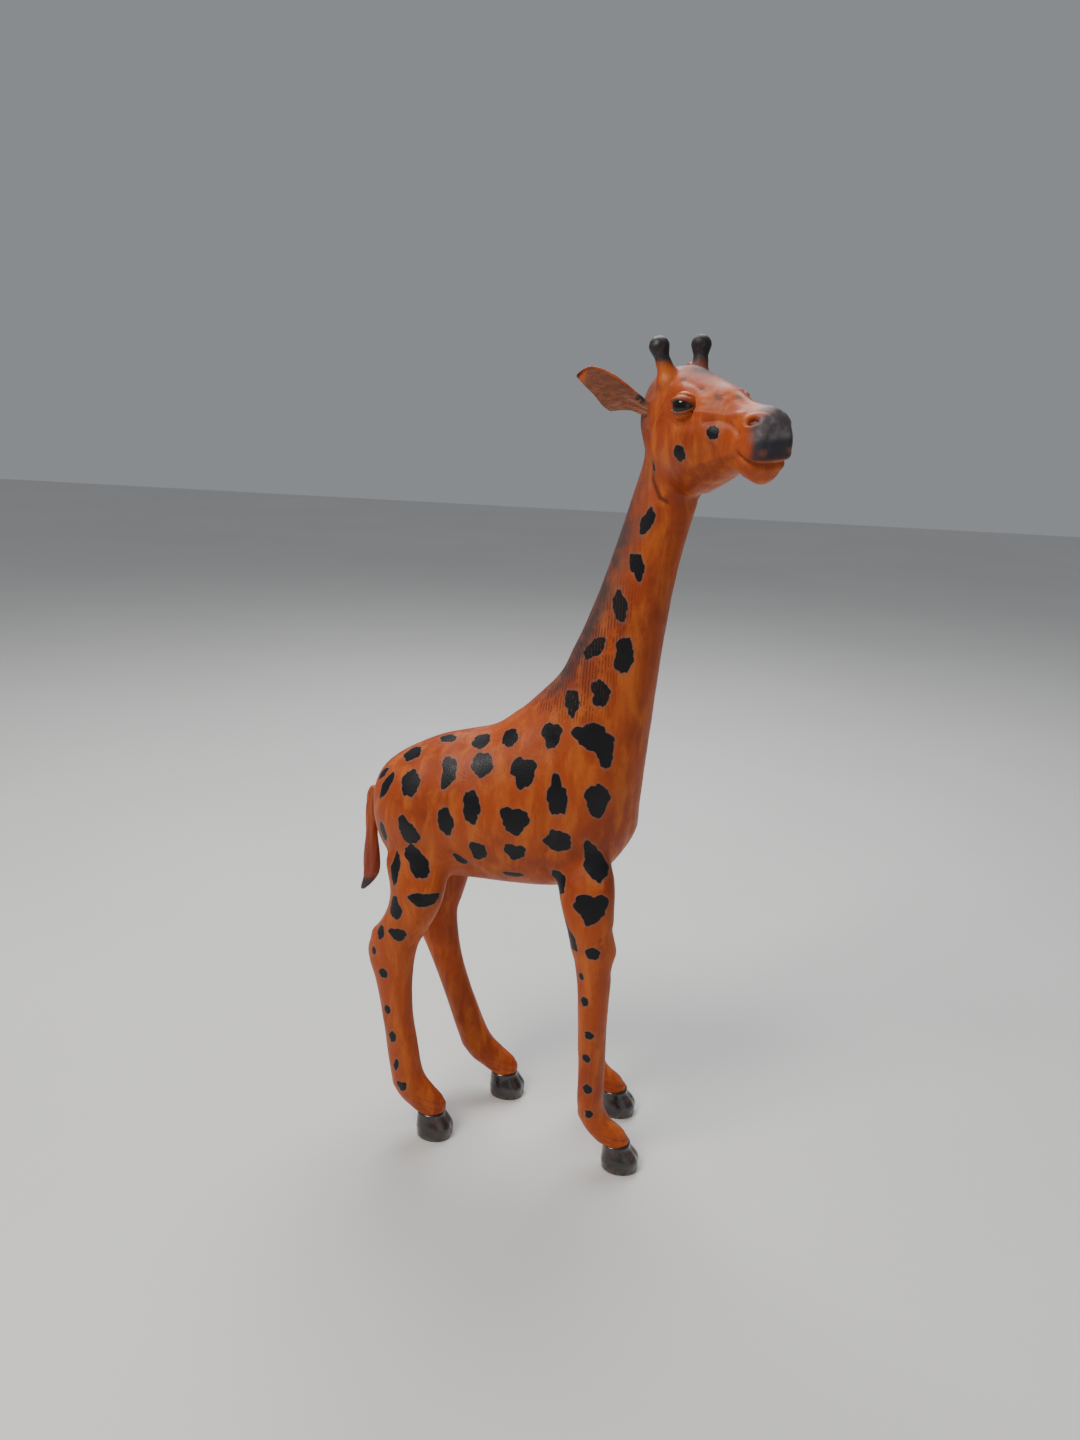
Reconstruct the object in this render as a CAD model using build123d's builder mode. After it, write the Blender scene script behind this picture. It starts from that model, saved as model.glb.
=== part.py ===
from build123d import *
import os
from collections import namedtuple
from math import cos, radians, sin

# Standing giraffe figure: carved wooden cores, pegged together and covered in glued leather.
# Millimetres. +X is the way the body faces, +Y is its left side, +Z is up, the soles are on Z = 0.

# ---------------------------------------------------------------- driving sizes
# trunk
body_middle = -23.2        # X of the middle of the trunk while the pieces are laid out
body_length = 126.5        # rump to chest
body_depth = 74.0          # belly to withers
body_width = 54.0
belly_height = 132.0       # ground to belly

# neck
neck_rise = 122.0          # withers to the top of the neck
neck_root_width = 47.0     # across the neck where it leaves the trunk
neck_top_width = 22.0

# head: turned to the right and slightly down
head_length = 67.5         # poll to upper lip
head_depth = 48.0          # forehead to jaw
head_width = 31.0
head_turn = -43.0          # about the vertical, degrees
head_dip = 8.0             # nose below level, degrees
head_tilt = 4.5            # right side down, degrees
eye_ahead_of_joint = 17.0  # the point between the eyes, measured from the top of the neck
eye_above_joint = 31.0
eye_radius = 4.5
eye_spread = 13.4          # eye centres from the head's middle plane

# legs
leg_root_rise = 33.0       # how far the legs reach up inside the trunk
leg_spread = 20.5          # leg centre lines from the middle plane
leg_width = 12.6           # across a cannon, side to side
hoof_height = 13.0
hoof_length = 18.0
hoof_width = 16.4

# small pieces
leather = 1.2              # hide over the trunk, head and legs
ossicone_height = 11.8
ossicone_shaft_radius = 2.8
ossicone_cap_radius = 4.1
ossicone_foot_flare = 1.2  # foot radius past the shaft's
ossicone_foot_depth = 7.0  # how far the foot reaches down into the skull
ear_length = 33.0
ear_width = 17.0
ear_curl_radius = 12.0
tail_length = 54.0
tail_depth = 5.8
tail_width = 4.6
tail_wire_radius = 0.8

# pegs and fits
neck_dowel_radius = 4.0
neck_dowel_length = 36.0
head_dowel_radius = 3.0
head_dowel_length = 26.0
leg_dowel_radius = 2.5
leg_dowel_length = 14.0
leg_dowel_cover = 3.0      # wood left between a leg dowel's end and the hide
ossicone_peg_radius = 1.5
ossicone_peg_length = 14.0
tenon_radius = 3.5         # leg end in its hoof
tenon_length = 7.5
peg_clearance = 0.10       # all round a dowel or peg
end_clearance = 0.30       # past the end of a blind hole
eye_clearance = 0.05
overshoot = 1.0            # how far a cutting form runs past what it cuts
side_names = {-1: "right", 1: "left"}

# ---------------------------------------------------------------- derived places
rump_x = body_middle - body_length / 2
chest_x = body_middle + body_length / 2
withers_z = belly_height + body_depth

Station = namedtuple("Station", "plane across along")


def oval_form(stations, inset=0.0, start_past=0.0, end_past=0.0):
    """Loft through oval stations shrunk by inset, its ends moved outwards along the run."""
    last = len(stations) - 1
    run = stations[1].plane.origin - stations[0].plane.origin
    travel = 1 if run.dot(stations[0].plane.z_dir) > 0 else -1
    with BuildPart() as form:
        for index, station in enumerate(stations):
            shift = 0.0
            if index == 0:
                shift = -travel * start_past
            if index == last:
                shift = travel * end_past
            with BuildSketch(station.plane.offset(shift)):
                Ellipse(station.across - inset, station.along - inset)
        loft()
    return form.part


def side_station(rear, front, y, half_width):
    """Oval whose long axis runs from a rear point to a front point, each given as (x, z)."""
    run = Vector(front[0] - rear[0], 0, front[1] - rear[1])
    middle = Vector((rear[0] + front[0]) / 2, y, (rear[1] + front[1]) / 2)
    plane = Plane(origin=middle, x_dir=(0, 1, 0), z_dir=(-run.Z, 0, run.X))
    return Station(plane, half_width, run.length / 2)


def round_bar(start, end, radius):
    """Plain cylinder between two points."""
    axis = end - start
    with BuildPart() as bar:
        with BuildSketch(Plane(origin=start, z_dir=axis)):
            Circle(radius)
        extrude(amount=axis.length)
    return bar.part


def ball(centre, radius):
    """Sphere about a point."""
    with BuildPart() as sphere:
        with Locations(centre):
            Sphere(radius)
    return sphere.part


# ---------------------------------------------------------------- trunk and neck forms
# The trunk is one run of ovals from the rump to the saddle, where the neck block is glued on.
# Through the shoulders the ovals fan out from upright to a slope. Each row gives shares of
# body_length from the rump and of body_depth from the belly, for the back and the belly, then a
# share of body_width.
trunk_shape = [
    ((0.000, 0.530), (0.000, 0.400), 0.18),
    ((0.016, 0.630), (0.016, 0.250), 0.41),
    ((0.062, 0.730), (0.062, 0.110), 0.67),
    ((0.140, 0.820), (0.140, 0.030), 0.85),
    ((0.260, 0.915), (0.260, 0.000), 0.96),
    ((0.400, 0.980), (0.415, 0.000), 1.00),
    ((0.470, 1.030), (0.605, 0.000), 1.01),
    ((0.526, 1.108), (0.795, 0.055), 1.00),
    ((0.577, 1.203), (0.921, 0.243), 0.93),
    ((0.628, 1.297), (0.980, 0.514), 0.83),
]
# Neck rows above the saddle: nape and throat as (distance behind the chest, share of neck_rise
# above the withers), then a share from the root's width to the top's width.
neck_shape = [
    ((34.6, 0.328), (-0.7, 0.074), 0.52),
    ((23.5, 0.566), (-5.0, 0.459), 0.85),
    ((14.0, 0.828), (-10.8, 0.746), 1.00),
    ((7.0, 1.082), (-18.0, 0.934), 0.98),
]
head_seat = ((9.0, 1.000), (-15.0, 0.869), 1.00)


def trunk_station(back, belly, width):
    """Trunk oval between a point on the back and a point on the belly."""
    rear = (rump_x + back[0] * body_length, belly_height + back[1] * body_depth)
    front = (rump_x + belly[0] * body_length, belly_height + belly[1] * body_depth)
    return side_station(rear, front, 0, width * body_width / 2)


def neck_station(nape, throat, taper):
    """Neck oval between a point on the nape and a point on the throat."""
    rear = (chest_x - nape[0], withers_z + nape[1] * neck_rise)
    front = (chest_x - throat[0], withers_z + throat[1] * neck_rise)
    half_width = (neck_root_width + taper * (neck_top_width - neck_root_width)) / 2
    return side_station(rear, front, 0, half_width)


trunk_stations = [trunk_station(*row) for row in trunk_shape]
saddle = trunk_stations[-1].plane
neck_stations = [trunk_stations[-1]] + [neck_station(*row) for row in neck_shape]
neck_joint = neck_station(*head_seat).plane.origin

trunk_outer = oval_form(trunk_stations)
trunk_inner = oval_form(trunk_stations, leather, start_past=-leather, end_past=overshoot)
neck_outer = oval_form(neck_stations)
neck_inner = oval_form(neck_stations, leather, start_past=overshoot, end_past=overshoot)

# ---------------------------------------------------------------- head forms
# the head's own axes: forward towards the lip, left, and up
turn = radians(head_turn)
dip = radians(head_dip)
head_forward = Vector(cos(turn) * cos(dip), sin(turn) * cos(dip), -sin(dip))
head_level_left = Vector(-sin(turn), cos(turn), 0)
head_left = head_level_left.rotate(Axis((0, 0, 0), head_forward), head_tilt)
head_up = head_forward.cross(head_left)
eye_centre = neck_joint + head_forward * eye_ahead_of_joint + head_up * eye_above_joint


def head_point(forward, left, up):
    """Point in the head's own axes, measured from the point between the eyes."""
    return eye_centre + head_forward * forward + head_left * left + head_up * up


# distance ahead of the eyes as a share of head_length, top, bottom and width as shares
head_shape = [
    (-0.430, 0.08, -0.38, 0.52),
    (-0.385, 0.19, -0.56, 0.74),
    (-0.252, 0.25, -0.69, 0.90),
    (-0.089, 0.25, -0.75, 1.00),
    (0.059, 0.21, -0.69, 1.00),
    (0.193, 0.17, -0.57, 0.84),
    (0.296, 0.12, -0.47, 0.68),
    (0.400, 0.10, -0.46, 0.68),
    (0.481, 0.10, -0.50, 0.71),
    (0.541, 0.07, -0.44, 0.61),
    (0.570, -0.02, -0.27, 0.39),
]


def head_station(ahead, top, bottom, width):
    middle = head_point(ahead * head_length, 0, (top + bottom) / 2 * head_depth)
    plane = Plane(origin=middle, x_dir=head_left, z_dir=head_forward)
    return Station(plane, width * head_width / 2, (top - bottom) / 2 * head_depth)


head_stations = [head_station(*row) for row in head_shape]
eye_centres = {side: head_point(1.2, side * eye_spread, 0.6) for side in side_names}
head_outer = oval_form(head_stations)
head_inner = oval_form(head_stations, leather, start_past=-leather, end_past=-leather)

# ---------------------------------------------------------------- leg forms
# Rows from the root inside the trunk down to the hoof: rear and front edge as (distance ahead of
# the leg's own reference, height), the centre line as a share of leg_spread, and a share of
# leg_width. Heights above 1 are shares of leg_root_rise above the belly, those below are shares
# of the span from the top of the hoof to the belly.
front_leg_shape = [
    ((-0.5, 2.00), (19.5, 2.00), 0.50, 0.80),
    ((-2.5, 1.48), (22.0, 1.48), 0.76, 1.34),
    ((-3.0, 1.18), (23.5, 1.18), 0.90, 1.46),
    ((-0.3, 0.97), (23.8, 0.97), 0.98, 1.42),
    ((3.9, 0.86), (24.1, 0.86), 1.00, 1.34),
    ((7.3, 0.74), (23.8, 0.74), 1.00, 1.20),
    ((8.9, 0.60), (23.0, 0.60), 1.00, 1.08),
    ((9.8, 0.43), (22.8, 0.43), 1.00, 1.00),
    ((10.6, 0.25), (22.9, 0.25), 1.00, 0.98),
    ((11.6, 0.12), (23.7, 0.13), 1.00, 1.04),
    ((15.4, 0.05), (27.5, 0.085), 1.00, 1.04),
    ((24.5, 0.00), (36.5, 0.00), 1.00, 0.94),
]
rear_leg_shape = [
    ((3.0, 2.00), (25.0, 2.00), 0.50, 0.80),
    ((-2.5, 1.42), (28.0, 1.42), 0.76, 1.40),
    ((-2.5, 1.10), (26.0, 1.10), 0.92, 1.52),
    ((-1.5, 0.93), (24.0, 0.93), 1.00, 1.46),
    ((-5.5, 0.84), (18.5, 0.84), 1.00, 1.34),
    ((-10.0, 0.765), (13.3, 0.765), 1.00, 1.24),
    ((-12.3, 0.705), (11.2, 0.705), 1.00, 1.18),
    ((-10.0, 0.620), (9.8, 0.620), 1.00, 1.08),
    ((-7.4, 0.530), (9.2, 0.530), 1.00, 1.02),
    ((-4.8, 0.390), (10.2, 0.390), 1.00, 0.98),
    ((-3.0, 0.260), (12.6, 0.260), 1.00, 0.98),
    ((-1.0, 0.150), (14.5, 0.170), 1.00, 1.06),
    ((3.0, 0.060), (20.0, 0.100), 1.00, 1.06),
    ((13.0, 0.000), (25.5, 0.000), 1.00, 0.94),
]
# the forward-set rear leg slants further ahead towards its hoof
rear_leg_slant = 26.2
hoof_back_of_heel = 1.0    # heel edge of the sole behind the leg's own heel edge

Leg = namedtuple("Leg", "name side start slant shape")
legs = [
    Leg("front_right_leg", -1, chest_x - 31.5, 0.0, front_leg_shape),
    Leg("front_left_leg", 1, chest_x - 39.0, 0.0, front_leg_shape),
    Leg("rear_right_leg", -1, rump_x + 14.5, 0.0, rear_leg_shape),
    Leg("rear_left_leg", 1, rump_x + 14.5, rear_leg_slant, rear_leg_shape),
]


def leg_height(share):
    """Height of a leg row, from its share."""
    if share > 1:
        return belly_height + (share - 1) * leg_root_rise
    return hoof_height + share * (belly_height - hoof_height)


def leg_stations(leg):
    """Ovals from the root inside the trunk down to the top of the hoof."""
    stations = []
    for (rear, rear_share), (front, front_share), spread, width in leg.shape:
        slant = leg.slant * max(0, 1 - (rear_share + front_share) / 2)
        stations.append(side_station(
            (leg.start + rear + slant, leg_height(rear_share)),
            (leg.start + front + slant, leg_height(front_share)),
            leg.side * leg_spread * spread, width * leg_width / 2))
    return stations


leg_station_lists = {leg.name: leg_stations(leg) for leg in legs}
leg_outer = {name: oval_form(rows) for name, rows in leg_station_lists.items()}
leg_inner = {
    name: oval_form(rows, leather, start_past=overshoot, end_past=overshoot)
    for name, rows in leg_station_lists.items()}

# ---------------------------------------------------------------- pegs, sockets and tenons
head_axis = (neck_joint - neck_stations[-2].plane.origin).normalized()


def centred_bar(middle, axis, length, radius):
    """Cylinder centred on a point."""
    return round_bar(middle - axis * (length / 2), middle + axis * (length / 2), radius)


def peg_and_hole(middle, axis, length, radius):
    """A peg, and the larger hole that it sits in with clearance all round."""
    peg = centred_bar(middle, axis, length, radius)
    hole = centred_bar(middle, axis, length + 2 * end_clearance, radius + peg_clearance)
    return peg, hole


neck_peg, neck_peg_hole = peg_and_hole(
    saddle.origin, saddle.z_dir, neck_dowel_length, neck_dowel_radius)
head_peg, head_peg_hole = peg_and_hole(
    neck_joint, head_axis, head_dowel_length, head_dowel_radius)


def leg_dowel_middle(leg):
    """Centre of the level dowel that pins a leg's root to the trunk."""
    station = leg_station_lists[leg.name][2]
    outermost = leg_spread + station.across - leather - leg_dowel_cover
    centre = station.plane.origin
    return Vector(centre.X, leg.side * (outermost - leg_dowel_length / 2), centre.Z)


leg_pegs = {}
leg_peg_holes = {}
tenons = {}
tenon_holes = {}
for leg in legs:
    middle = leg_dowel_middle(leg)
    leg_pegs[leg.name], leg_peg_holes[leg.name] = peg_and_hole(
        middle, Vector(0, 1, 0), leg_dowel_length, leg_dowel_radius)
    ankle = leg_station_lists[leg.name][-1].plane.origin
    up = Vector(0, 0, 1)
    tenons[leg.name] = round_bar(
        ankle + up * overshoot, ankle - up * tenon_length, tenon_radius)
    tenon_holes[leg.name] = round_bar(
        ankle + up * overshoot, ankle - up * (tenon_length + end_clearance),
        tenon_radius + peg_clearance)

eye_sockets = {side: ball(eye_centres[side], eye_radius + eye_clearance) for side in side_names}

# ossicone roots and tips in the head's axes: forward, outward, up
ossicone_root = (-17.0, 9.0, 11.0)
ossicone_lean = Vector(-3.4, 2.2, 11.0).normalized()


def ossicone_plane(side):
    """Plane at an ossicone's root, its normal along the ossicone."""
    forward, outward, up = ossicone_root
    axis = (head_forward * ossicone_lean.X + head_left * (side * ossicone_lean.Y)
            + head_up * ossicone_lean.Z)
    return Plane(origin=head_point(forward, side * outward, up), z_dir=axis)


def ossicone_peg_form(side, radius_gap, end_gap):
    """Peg from inside the skull up the middle of the ossicone."""
    plane = ossicone_plane(side)
    start = plane.origin - plane.z_dir * (ossicone_peg_length * 0.4 + end_gap)
    end = plane.origin + plane.z_dir * (ossicone_peg_length * 0.6 + end_gap)
    return round_bar(start, end, ossicone_peg_radius + radius_gap)


ossicone_pegs = {side: ossicone_peg_form(side, 0.0, 0.0) for side in side_names}
ossicone_peg_holes = {
    side: ossicone_peg_form(side, peg_clearance, end_clearance) for side in side_names}


def ossicone_form(side):
    """Turned outline: flared foot, slim shaft and rounded cap."""
    foot_radius = ossicone_shaft_radius + ossicone_foot_flare
    cap_bottom = ossicone_height - 2 * ossicone_cap_radius + 1.0
    with BuildPart() as form:
        with BuildSketch(Plane.XZ):
            with BuildLine():
                foot = Line((0, -ossicone_foot_depth), (foot_radius, -ossicone_foot_depth))
                shaft_top = (ossicone_shaft_radius, cap_bottom)
                cap_side = (ossicone_cap_radius, ossicone_height + 1.0 - ossicone_cap_radius)
                Spline(foot @ 1, (ossicone_shaft_radius + 0.3, 3.0), shaft_top)
                Line(shaft_top, cap_side)
                RadiusArc(cap_side, (0, ossicone_height + 1.0), -ossicone_cap_radius)
                Line((0, ossicone_height + 1.0), (0, -ossicone_foot_depth))
            make_face()
        revolve(axis=Axis.Z)
    plane = ossicone_plane(side)
    return plane.location * form.part


ossicone_forms = {side: ossicone_form(side) for side in side_names}

# ear roots and directions in the head's axes: forward, outward, up
ear_root = Vector(-21.0, 12.2, -4.0)
ear_run = Vector(-0.75, 0.50, 0.25).normalized()
ear_buried = 3.0           # stem length left under the head's hide before it is cut flush


def ear_plane(side):
    """X runs from stem to tip, Z faces the open side of the ear."""
    along = head_forward * ear_run.X + head_left * (side * ear_run.Y) + head_up * ear_run.Z
    facing = head_forward * 0.55 + head_left * (side * 0.83)
    facing = (facing - along * facing.dot(along)).normalized()
    root = head_point(ear_root.X, side * ear_root.Y, ear_root.Z)
    return Plane(origin=root, x_dir=along, z_dir=facing)


# ear outline: share of ear_length, share of ear_width above and below the stem's line
ear_upper = [(0.22, 0.22), (0.45, 0.36), (0.66, 0.44), (0.84, 0.34)]
ear_lower = [(0.84, -0.20), (0.62, -0.52), (0.45, -0.46), (0.22, -0.22)]


def ear_form(side):
    """Leaf of hide curled lengthwise: a leaf outline cut through part of a tube wall."""
    stem = 0.17 * ear_width
    mirror_up = -side
    with BuildPart() as leaf:
        with BuildSketch(Plane.XY.offset(-ear_curl_radius)):
            with BuildLine():
                upper = [(-ear_buried, stem * mirror_up)]
                upper += [(x * ear_length, y * ear_width * mirror_up) for x, y in ear_upper]
                lower = [(x * ear_length, y * ear_width * mirror_up) for x, y in ear_lower]
                lower += [(-ear_buried, -stem * mirror_up)]
                tip = (ear_length, 0)
                Spline(*upper, tip)
                Spline(tip, *lower)
                Line(lower[-1], upper[0])
            make_face()
        extrude(amount=ear_curl_radius)
    with BuildPart() as wall:
        with BuildSketch(Plane.YZ.offset(-ear_buried)):
            with Locations((0, 0)):
                Circle(ear_curl_radius)
                Circle(ear_curl_radius - leather, mode=Mode.SUBTRACT)
        extrude(amount=ear_length + 2 * ear_buried)
        add(leaf.part, mode=Mode.INTERSECT)
    lift = Location((0, 0, ear_curl_radius - leather))
    return ear_plane(side).location * (lift * wall.part)


ear_forms = {side: ear_form(side) for side in side_names}

# ---------------------------------------------------------------- tail forms
tail_x = rump_x - 3.1
tail_root_z = belly_height + 0.52 * body_depth
# Share of tail_length below the root, offset behind tail_x, share of tail_depth and tail_width
tail_shape = [
    (0.00, -1.0, 0.80),
    (0.20, 0.0, 1.00),
    (0.55, 0.0, 1.00),
    (0.72, 0.3, 1.25),
    (0.82, 0.0, 1.30),
    (0.92, 1.8, 0.85),
    (1.00, 4.6, 0.45),
]
tuft_start = 4             # station where the hide ends and the dark tuft begins


def tail_station(down, behind, girth):
    middle = Vector(tail_x - behind, 0, tail_root_z - down * tail_length)
    plane = Plane(origin=middle, x_dir=(0, 1, 0), z_dir=(0, 0, -1))
    return Station(plane, girth * tail_width / 2, girth * tail_depth / 2)


tail_stations = [tail_station(*row) for row in tail_shape]
tail_hide_form = oval_form(tail_stations[:tuft_start + 1])
tail_tuft_form = oval_form(tail_stations[tuft_start:])
wire_start = Vector(rump_x + 9.0, 0, tail_root_z - 2.0)
wire_bend = Vector(tail_x, 0, tail_root_z - 3.0)
wire_end = Vector(tail_x, 0, tail_root_z - 0.88 * tail_length)
wire_bend_radius = 2.0


def tail_wire_form(radius):
    """Wire out of the trunk and down the middle of the tail."""
    with BuildPart() as wire:
        with BuildLine():
            route = FilletPolyline(wire_start, wire_bend, wire_end, radius=wire_bend_radius)
        with BuildSketch(Plane(origin=route @ 0, z_dir=route % 0)):
            Circle(radius)
        sweep()
    return wire.part


tail_wire_solid = tail_wire_form(tail_wire_radius)
tail_wire_hole = tail_wire_form(tail_wire_radius + 0.02)


# ---------------------------------------------------------------- the separate pieces
pieces = {}


def keep(builder, name):
    """Name a finished piece and keep its main solid, without the offcuts."""
    solid = builder.part.solids().sort_by(SortBy.VOLUME)[-1]
    builder.part = Part() + solid
    builder.part.label = name
    pieces[name] = builder.part


with BuildPart() as torso_core:
    add(trunk_inner)
    split(bisect_by=saddle, keep=Keep.BOTTOM)
    add(neck_peg_hole, mode=Mode.SUBTRACT)
    for leg in legs:
        add(leg_peg_holes[leg.name], mode=Mode.SUBTRACT)
    add(tail_wire_hole, mode=Mode.SUBTRACT)
keep(torso_core, "torso_core")

with BuildPart() as neck_core:
    add(neck_inner)
    split(bisect_by=saddle, keep=Keep.TOP)
    add(head_inner, mode=Mode.SUBTRACT)
    add(neck_peg_hole, mode=Mode.SUBTRACT)
    add(head_peg_hole, mode=Mode.SUBTRACT)
keep(neck_core, "neck_core")

with BuildPart() as head_core:
    add(head_inner)
    add(head_peg_hole, mode=Mode.SUBTRACT)
    for side in side_names:
        add(eye_sockets[side], mode=Mode.SUBTRACT)
        add(ossicone_peg_holes[side], mode=Mode.SUBTRACT)
keep(head_core, "head_core")

with BuildPart() as neck_dowel:
    add(neck_peg)
keep(neck_dowel, "neck_dowel")

with BuildPart() as head_dowel:
    add(head_peg)
keep(head_dowel, "head_dowel")

with BuildPart() as trunk_leather:
    add(trunk_outer)
    add(trunk_inner, mode=Mode.SUBTRACT)
    for leg in legs:
        add(leg_inner[leg.name], mode=Mode.SUBTRACT)
    add(tail_wire_hole, mode=Mode.SUBTRACT)
keep(trunk_leather, "trunk_leather")

with BuildPart() as neck_leather:
    add(neck_outer)
    add(neck_inner, mode=Mode.SUBTRACT)
    add(head_outer, mode=Mode.SUBTRACT)
keep(neck_leather, "neck_leather")

with BuildPart() as head_leather:
    add(head_outer)
    add(head_inner, mode=Mode.SUBTRACT)
    add(neck_inner, mode=Mode.SUBTRACT)
    for side in side_names:
        add(eye_sockets[side], mode=Mode.SUBTRACT)
        add(ossicone_forms[side], mode=Mode.SUBTRACT)
        add(ossicone_peg_holes[side], mode=Mode.SUBTRACT)
keep(head_leather, "head_leather")

for side, side_name in side_names.items():
    with BuildPart() as eye:
        add(ball(eye_centres[side], eye_radius))
    keep(eye, f"{side_name}_eye")

    with BuildPart() as ossicone_peg:
        add(ossicone_pegs[side])
    keep(ossicone_peg, f"{side_name}_ossicone_peg")

    with BuildPart() as ossicone_cover:
        add(ossicone_forms[side])
        add(head_inner, mode=Mode.SUBTRACT)
        add(ossicone_peg_holes[side], mode=Mode.SUBTRACT)
    keep(ossicone_cover, f"{side_name}_ossicone_cover")

    with BuildPart() as ear:
        add(ear_forms[side])
        add(head_outer, mode=Mode.SUBTRACT)
        add(neck_outer, mode=Mode.SUBTRACT)
    keep(ear, f"{side_name}_ear")

for leg in legs:
    with BuildPart() as leg_core:
        add(leg_inner[leg.name])
        split(bisect_by=Plane.XY.offset(hoof_height), keep=Keep.TOP)
        add(trunk_inner, mode=Mode.SUBTRACT)
        add(leg_peg_holes[leg.name], mode=Mode.SUBTRACT)
        add(tenons[leg.name])
    keep(leg_core, f"{leg.name}_core")

    with BuildPart() as leg_leather:
        add(leg_outer[leg.name])
        add(leg_inner[leg.name], mode=Mode.SUBTRACT)
        split(bisect_by=Plane.XY.offset(hoof_height), keep=Keep.TOP)
        add(trunk_outer, mode=Mode.SUBTRACT)
    keep(leg_leather, f"{leg.name}_leather")

    with BuildPart() as leg_dowel:
        add(leg_pegs[leg.name])
    keep(leg_dowel, f"{leg.name}_dowel")

    ankle = leg_station_lists[leg.name][-1]
    sole_x = ankle.plane.origin.X + hoof_length / 2 - ankle.along - hoof_back_of_heel
    hoof_y = leg.side * leg_spread
    with BuildPart() as hoof:
        with BuildSketch(Plane((sole_x, hoof_y, 0))):
            Ellipse(hoof_length / 2, hoof_width / 2)
        with BuildSketch(Plane((sole_x - 0.4, hoof_y, hoof_height * 0.45))):
            Ellipse(hoof_length / 2 - 0.3, hoof_width / 2 - 0.2)
        with BuildSketch(Plane((ankle.plane.origin.X, hoof_y, hoof_height))):
            Ellipse(ankle.along + 0.3, ankle.across + 0.3)
        loft()
        add(tenon_holes[leg.name], mode=Mode.SUBTRACT)
    keep(hoof, f"{leg.name.replace('_leg', '')}_hoof")

with BuildPart() as tail_wire:
    add(tail_wire_solid)
keep(tail_wire, "tail_wire")

with BuildPart() as tail_leather:
    add(tail_hide_form)
    add(trunk_outer, mode=Mode.SUBTRACT)
    add(tail_wire_hole, mode=Mode.SUBTRACT)
keep(tail_leather, "tail_leather")

with BuildPart() as tail_tuft:
    add(tail_tuft_form)
    add(trunk_outer, mode=Mode.SUBTRACT)
    add(tail_wire_hole, mode=Mode.SUBTRACT)
keep(tail_tuft, "tail_tuft")

# ---------------------------------------------------------------- origin and export
# the origin is the middle of the whole figure's footprint, on the ground
envelope = Compound(children=[Compound(piece.solids()) for piece in pieces.values()]).bounding_box()
to_origin = Location((-envelope.center().X, -envelope.center().Y, -envelope.min.Z))
os.makedirs("parts", exist_ok=True)
for name, piece in pieces.items():
    placed = piece.moved(to_origin)
    placed.label = name
    export_step(placed, f"parts/{name}.step")
print("origin offset", to_origin.position)
print("size", envelope.size)
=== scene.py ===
import math

import bmesh
import bpy
import numpy as np
from mathutils import Matrix, Vector
from mathutils.bvhtree import BVHTree


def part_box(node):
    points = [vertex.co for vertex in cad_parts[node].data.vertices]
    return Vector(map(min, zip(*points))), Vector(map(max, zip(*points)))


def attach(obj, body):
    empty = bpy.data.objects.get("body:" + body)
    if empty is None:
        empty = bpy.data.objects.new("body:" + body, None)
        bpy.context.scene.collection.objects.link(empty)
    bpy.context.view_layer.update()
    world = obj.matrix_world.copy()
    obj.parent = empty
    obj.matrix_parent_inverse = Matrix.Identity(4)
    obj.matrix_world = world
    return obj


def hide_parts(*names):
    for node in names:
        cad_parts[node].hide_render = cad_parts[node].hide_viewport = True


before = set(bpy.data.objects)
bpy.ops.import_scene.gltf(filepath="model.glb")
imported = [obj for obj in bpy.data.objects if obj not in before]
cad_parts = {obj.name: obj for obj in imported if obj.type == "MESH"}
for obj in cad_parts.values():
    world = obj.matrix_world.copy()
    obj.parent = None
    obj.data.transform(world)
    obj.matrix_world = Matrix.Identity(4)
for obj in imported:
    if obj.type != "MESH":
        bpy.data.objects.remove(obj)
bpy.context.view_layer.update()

# Work is done in millimetres in arrays, and written back to meshes in metres.
MM = 0.001
SKIN_VOXEL = 0.75
HIDE_THICKNESS = 0.5
SEED = 7
LEGS = ("front_right", "front_left", "rear_right", "rear_left")
SIDES = {"right": -1, "left": 1}
LEG_NODES = {leg: leg + "_leg_leather" for leg in LEGS}
OSSICONE_NODES = {side: side + "_ossicone_cover" for side in SIDES}
HIDE_NODES = ["trunk_leather", "neck_leather", "head_leather", *LEG_NODES.values(), *OSSICONE_NODES.values()]
FILLER_NODES = ["torso_core", "neck_core", "head_core", *[leg + "_leg_core" for leg in LEGS],
                "right_eye", "left_eye"]


# ------------------------------------------------------------------ places, from the frame
def box_mm(node):
    low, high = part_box(node)
    return np.array(low) / MM, np.array(high) / MM


def box_centre(node):
    low, high = box_mm(node)
    return (low + high) / 2


HEAD_TURN = math.radians(-43)
HEAD_DIP = math.radians(8)
HEAD_TILT = math.radians(4.5)
FORWARD = Vector((math.cos(HEAD_TURN) * math.cos(HEAD_DIP),
                  math.sin(HEAD_TURN) * math.cos(HEAD_DIP), -math.sin(HEAD_DIP)))
LEFT = Matrix.Rotation(HEAD_TILT, 3, FORWARD) @ Vector((-math.sin(HEAD_TURN), math.cos(HEAD_TURN), 0))
UP = FORWARD.cross(LEFT)
HEAD_AXES = np.array([FORWARD, LEFT, UP])
EYES = {side: box_centre(side + "_eye") for side in SIDES}
EYE_AHEAD, EYE_ABOVE = 1.2, 0.6     # eye centres from the point that head places are measured from
EYE_LINE = (EYES["right"] + EYES["left"]) / 2 - np.array([EYE_AHEAD, 0, EYE_ABOVE]) @ HEAD_AXES
EYE_RADIUS = 4.5
MIDDLE_Y = box_centre("trunk_leather")[1]
BELLY_Z = box_mm("trunk_leather")[0][2]


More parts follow.
